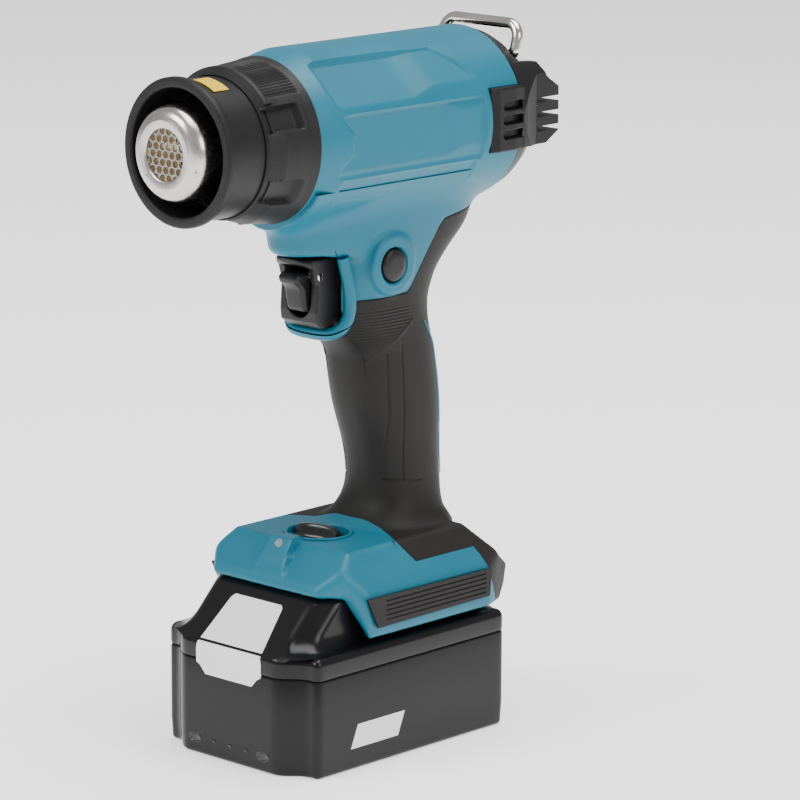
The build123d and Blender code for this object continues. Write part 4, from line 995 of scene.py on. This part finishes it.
# --- carried-over pieces ----------------------------------------------------------------------------------
CARRIED = {
    "base_pad_left": PAD, "base_pad_right": PAD,
    "rear_cover": BLACK, "nozzle_flange": STEEL, "mica_tube": MICA, "heater_former": CERAMIC_PAINTED_GLOW,
    "heater_coil": HEATER, "air_duct": BLACK, "motor_can": DARK_STEEL, "motor_mount": BLACK,
    "switch_module": BLACK, "dial_sensor": BLACK, "led_lens": LENS, "led_board": BOARD,
    "control_board": BOARD,
    "terminal_block": BLACK, "terminal_blades": BRASS, "housing_screws": SCREW, "power_lead_plus": RED_LEAD,
    "power_lead_minus": BLACK_LEAD, "trigger_spring": SCREW, "lock_button_spring": SCREW,
    "nose_label": YELLOW,
    "lever_pin": WIRE, "switch_plunger": WHITE, "hook": WIRE, "fan": FAN_GREY, "motor_shaft": DARK_STEEL,
    "battery_cells": CELL, "cell_holder": HOLDER, "battery_board": BOARD, "battery_contacts": BRASS,
    "case_screws": SCREW, "release_springs": SCREW,
}


def finish_carried():
    for name, material in CARRIED.items():
        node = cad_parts[name]
        node.data.materials.clear()
        node.data.materials.append(material)


def spring_gives():
    """Gives the trigger's return spring, which works against the switch over the trigger's 6 mm travel, a mesh
    of its own.
    """
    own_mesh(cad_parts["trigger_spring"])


# --- floor, light, camera ---------------------------------------------------------------------------------
def studio():
    """Pale floor, an even pale sky and three soft lamps: ahead, to the left and overhead."""
    floor = Finish("pale_floor", **{"Roughness": 0.8, "Emission_Color": rgb(1, 1, 1),
                                   "Emission_Strength": 0.75})
    floor.colour(floor.blend(floor.noise(3, 3), rgb(0.90, 0.90, 0.90), rgb(0.93, 0.93, 0.93)))
    mesh = bpy.data.meshes.new("floor")
    mesh.from_pydata([(-6, -6, 0), (6, -6, 0), (6, 6, 0), (-6, 6, 0)], [], [(0, 1, 2, 3)])
    mesh.materials.append(floor.material)
    ground = bpy.data.objects.new("floor", mesh)
    bpy.context.scene.collection.objects.link(ground)
    world = bpy.data.worlds.new("studio")
    world.use_nodes = True
    world.node_tree.nodes["Background"].inputs["Color"].default_value = rgb(1, 1, 1)
    world.node_tree.nodes["Background"].inputs["Strength"].default_value = 0.5
    bpy.context.scene.world = world
    lamp("key", (-0.5, -1.3, 1.3), (0, 0, 0.14), 0.8, 20)
    lamp("fill", (1.5, 0.1, 0.9), (0, 0, 0.14), 0.7, 9)
    lamp("top", (0.2, 0.3, 1.9), (0, 0, 0.14), 1.4, 46)


def lamp(name, place, at, size, power):
    light = bpy.data.lights.new(name, "AREA")
    light.size, light.energy = size, power
    rig = bpy.data.objects.new(name, light)
    bpy.context.scene.collection.objects.link(rig)
    aim(rig, place, at, 0.0)


def aim(rig, place, at, roll):
    """Put a camera or lamp at a place, looking at a point, turned by roll degrees about its view."""
    place, at = np.array(place, float), np.array(at, float)
    back = (place - at) / np.linalg.norm(place - at)
    right = np.cross([0, 0, 1.0], back)
    right /= np.linalg.norm(right)
    up = np.cross(back, right)
    c, s = math.cos(math.radians(roll)), math.sin(math.radians(roll))
    right, up = c * right + s * up, -s * right + c * up
    rig.matrix_world = Matrix([[right[i], up[i], back[i], place[i]] for i in range(3)] + [[0, 0, 0, 1]])


def camera():
    """A long lens 1.48 m away, 43 degrees round from the nose to the tool's left and 12.5 degrees up."""
    azimuth, elevation = math.radians(43.204), math.radians(12.469)
    back = np.array([math.sin(azimuth) * math.cos(elevation), -math.cos(azimuth) * math.cos(elevation),
                     math.sin(elevation)])
    right = np.array([math.cos(azimuth), math.sin(azimuth), 0])
    at = 0.02204 * right + np.array([0, 0, 0.12283])
    view = bpy.data.cameras.new("camera")
    view.sensor_width, view.lens = 36.0, 187.45
    rig = bpy.data.objects.new("camera", view)
    bpy.context.scene.collection.objects.link(rig)
    place = at + 1.4844 * back
    aim(rig, place, at, 0.286)
    bpy.context.scene.camera = rig


camera()
studio()
barrel_shell()
side_grilles()
snout()
neck_and_grip()
trigger_lip()
foot()
bay_lining()
small_fittings()
turning_ring()
heat_guard()
nozzle()
honeycomb()
trigger()
lever()
lock_on_button()
dial_wheel()
battery_case()
tray_pockets()
rail_block()
release_window()
flank_stripe()
finish_carried()
spring_gives()
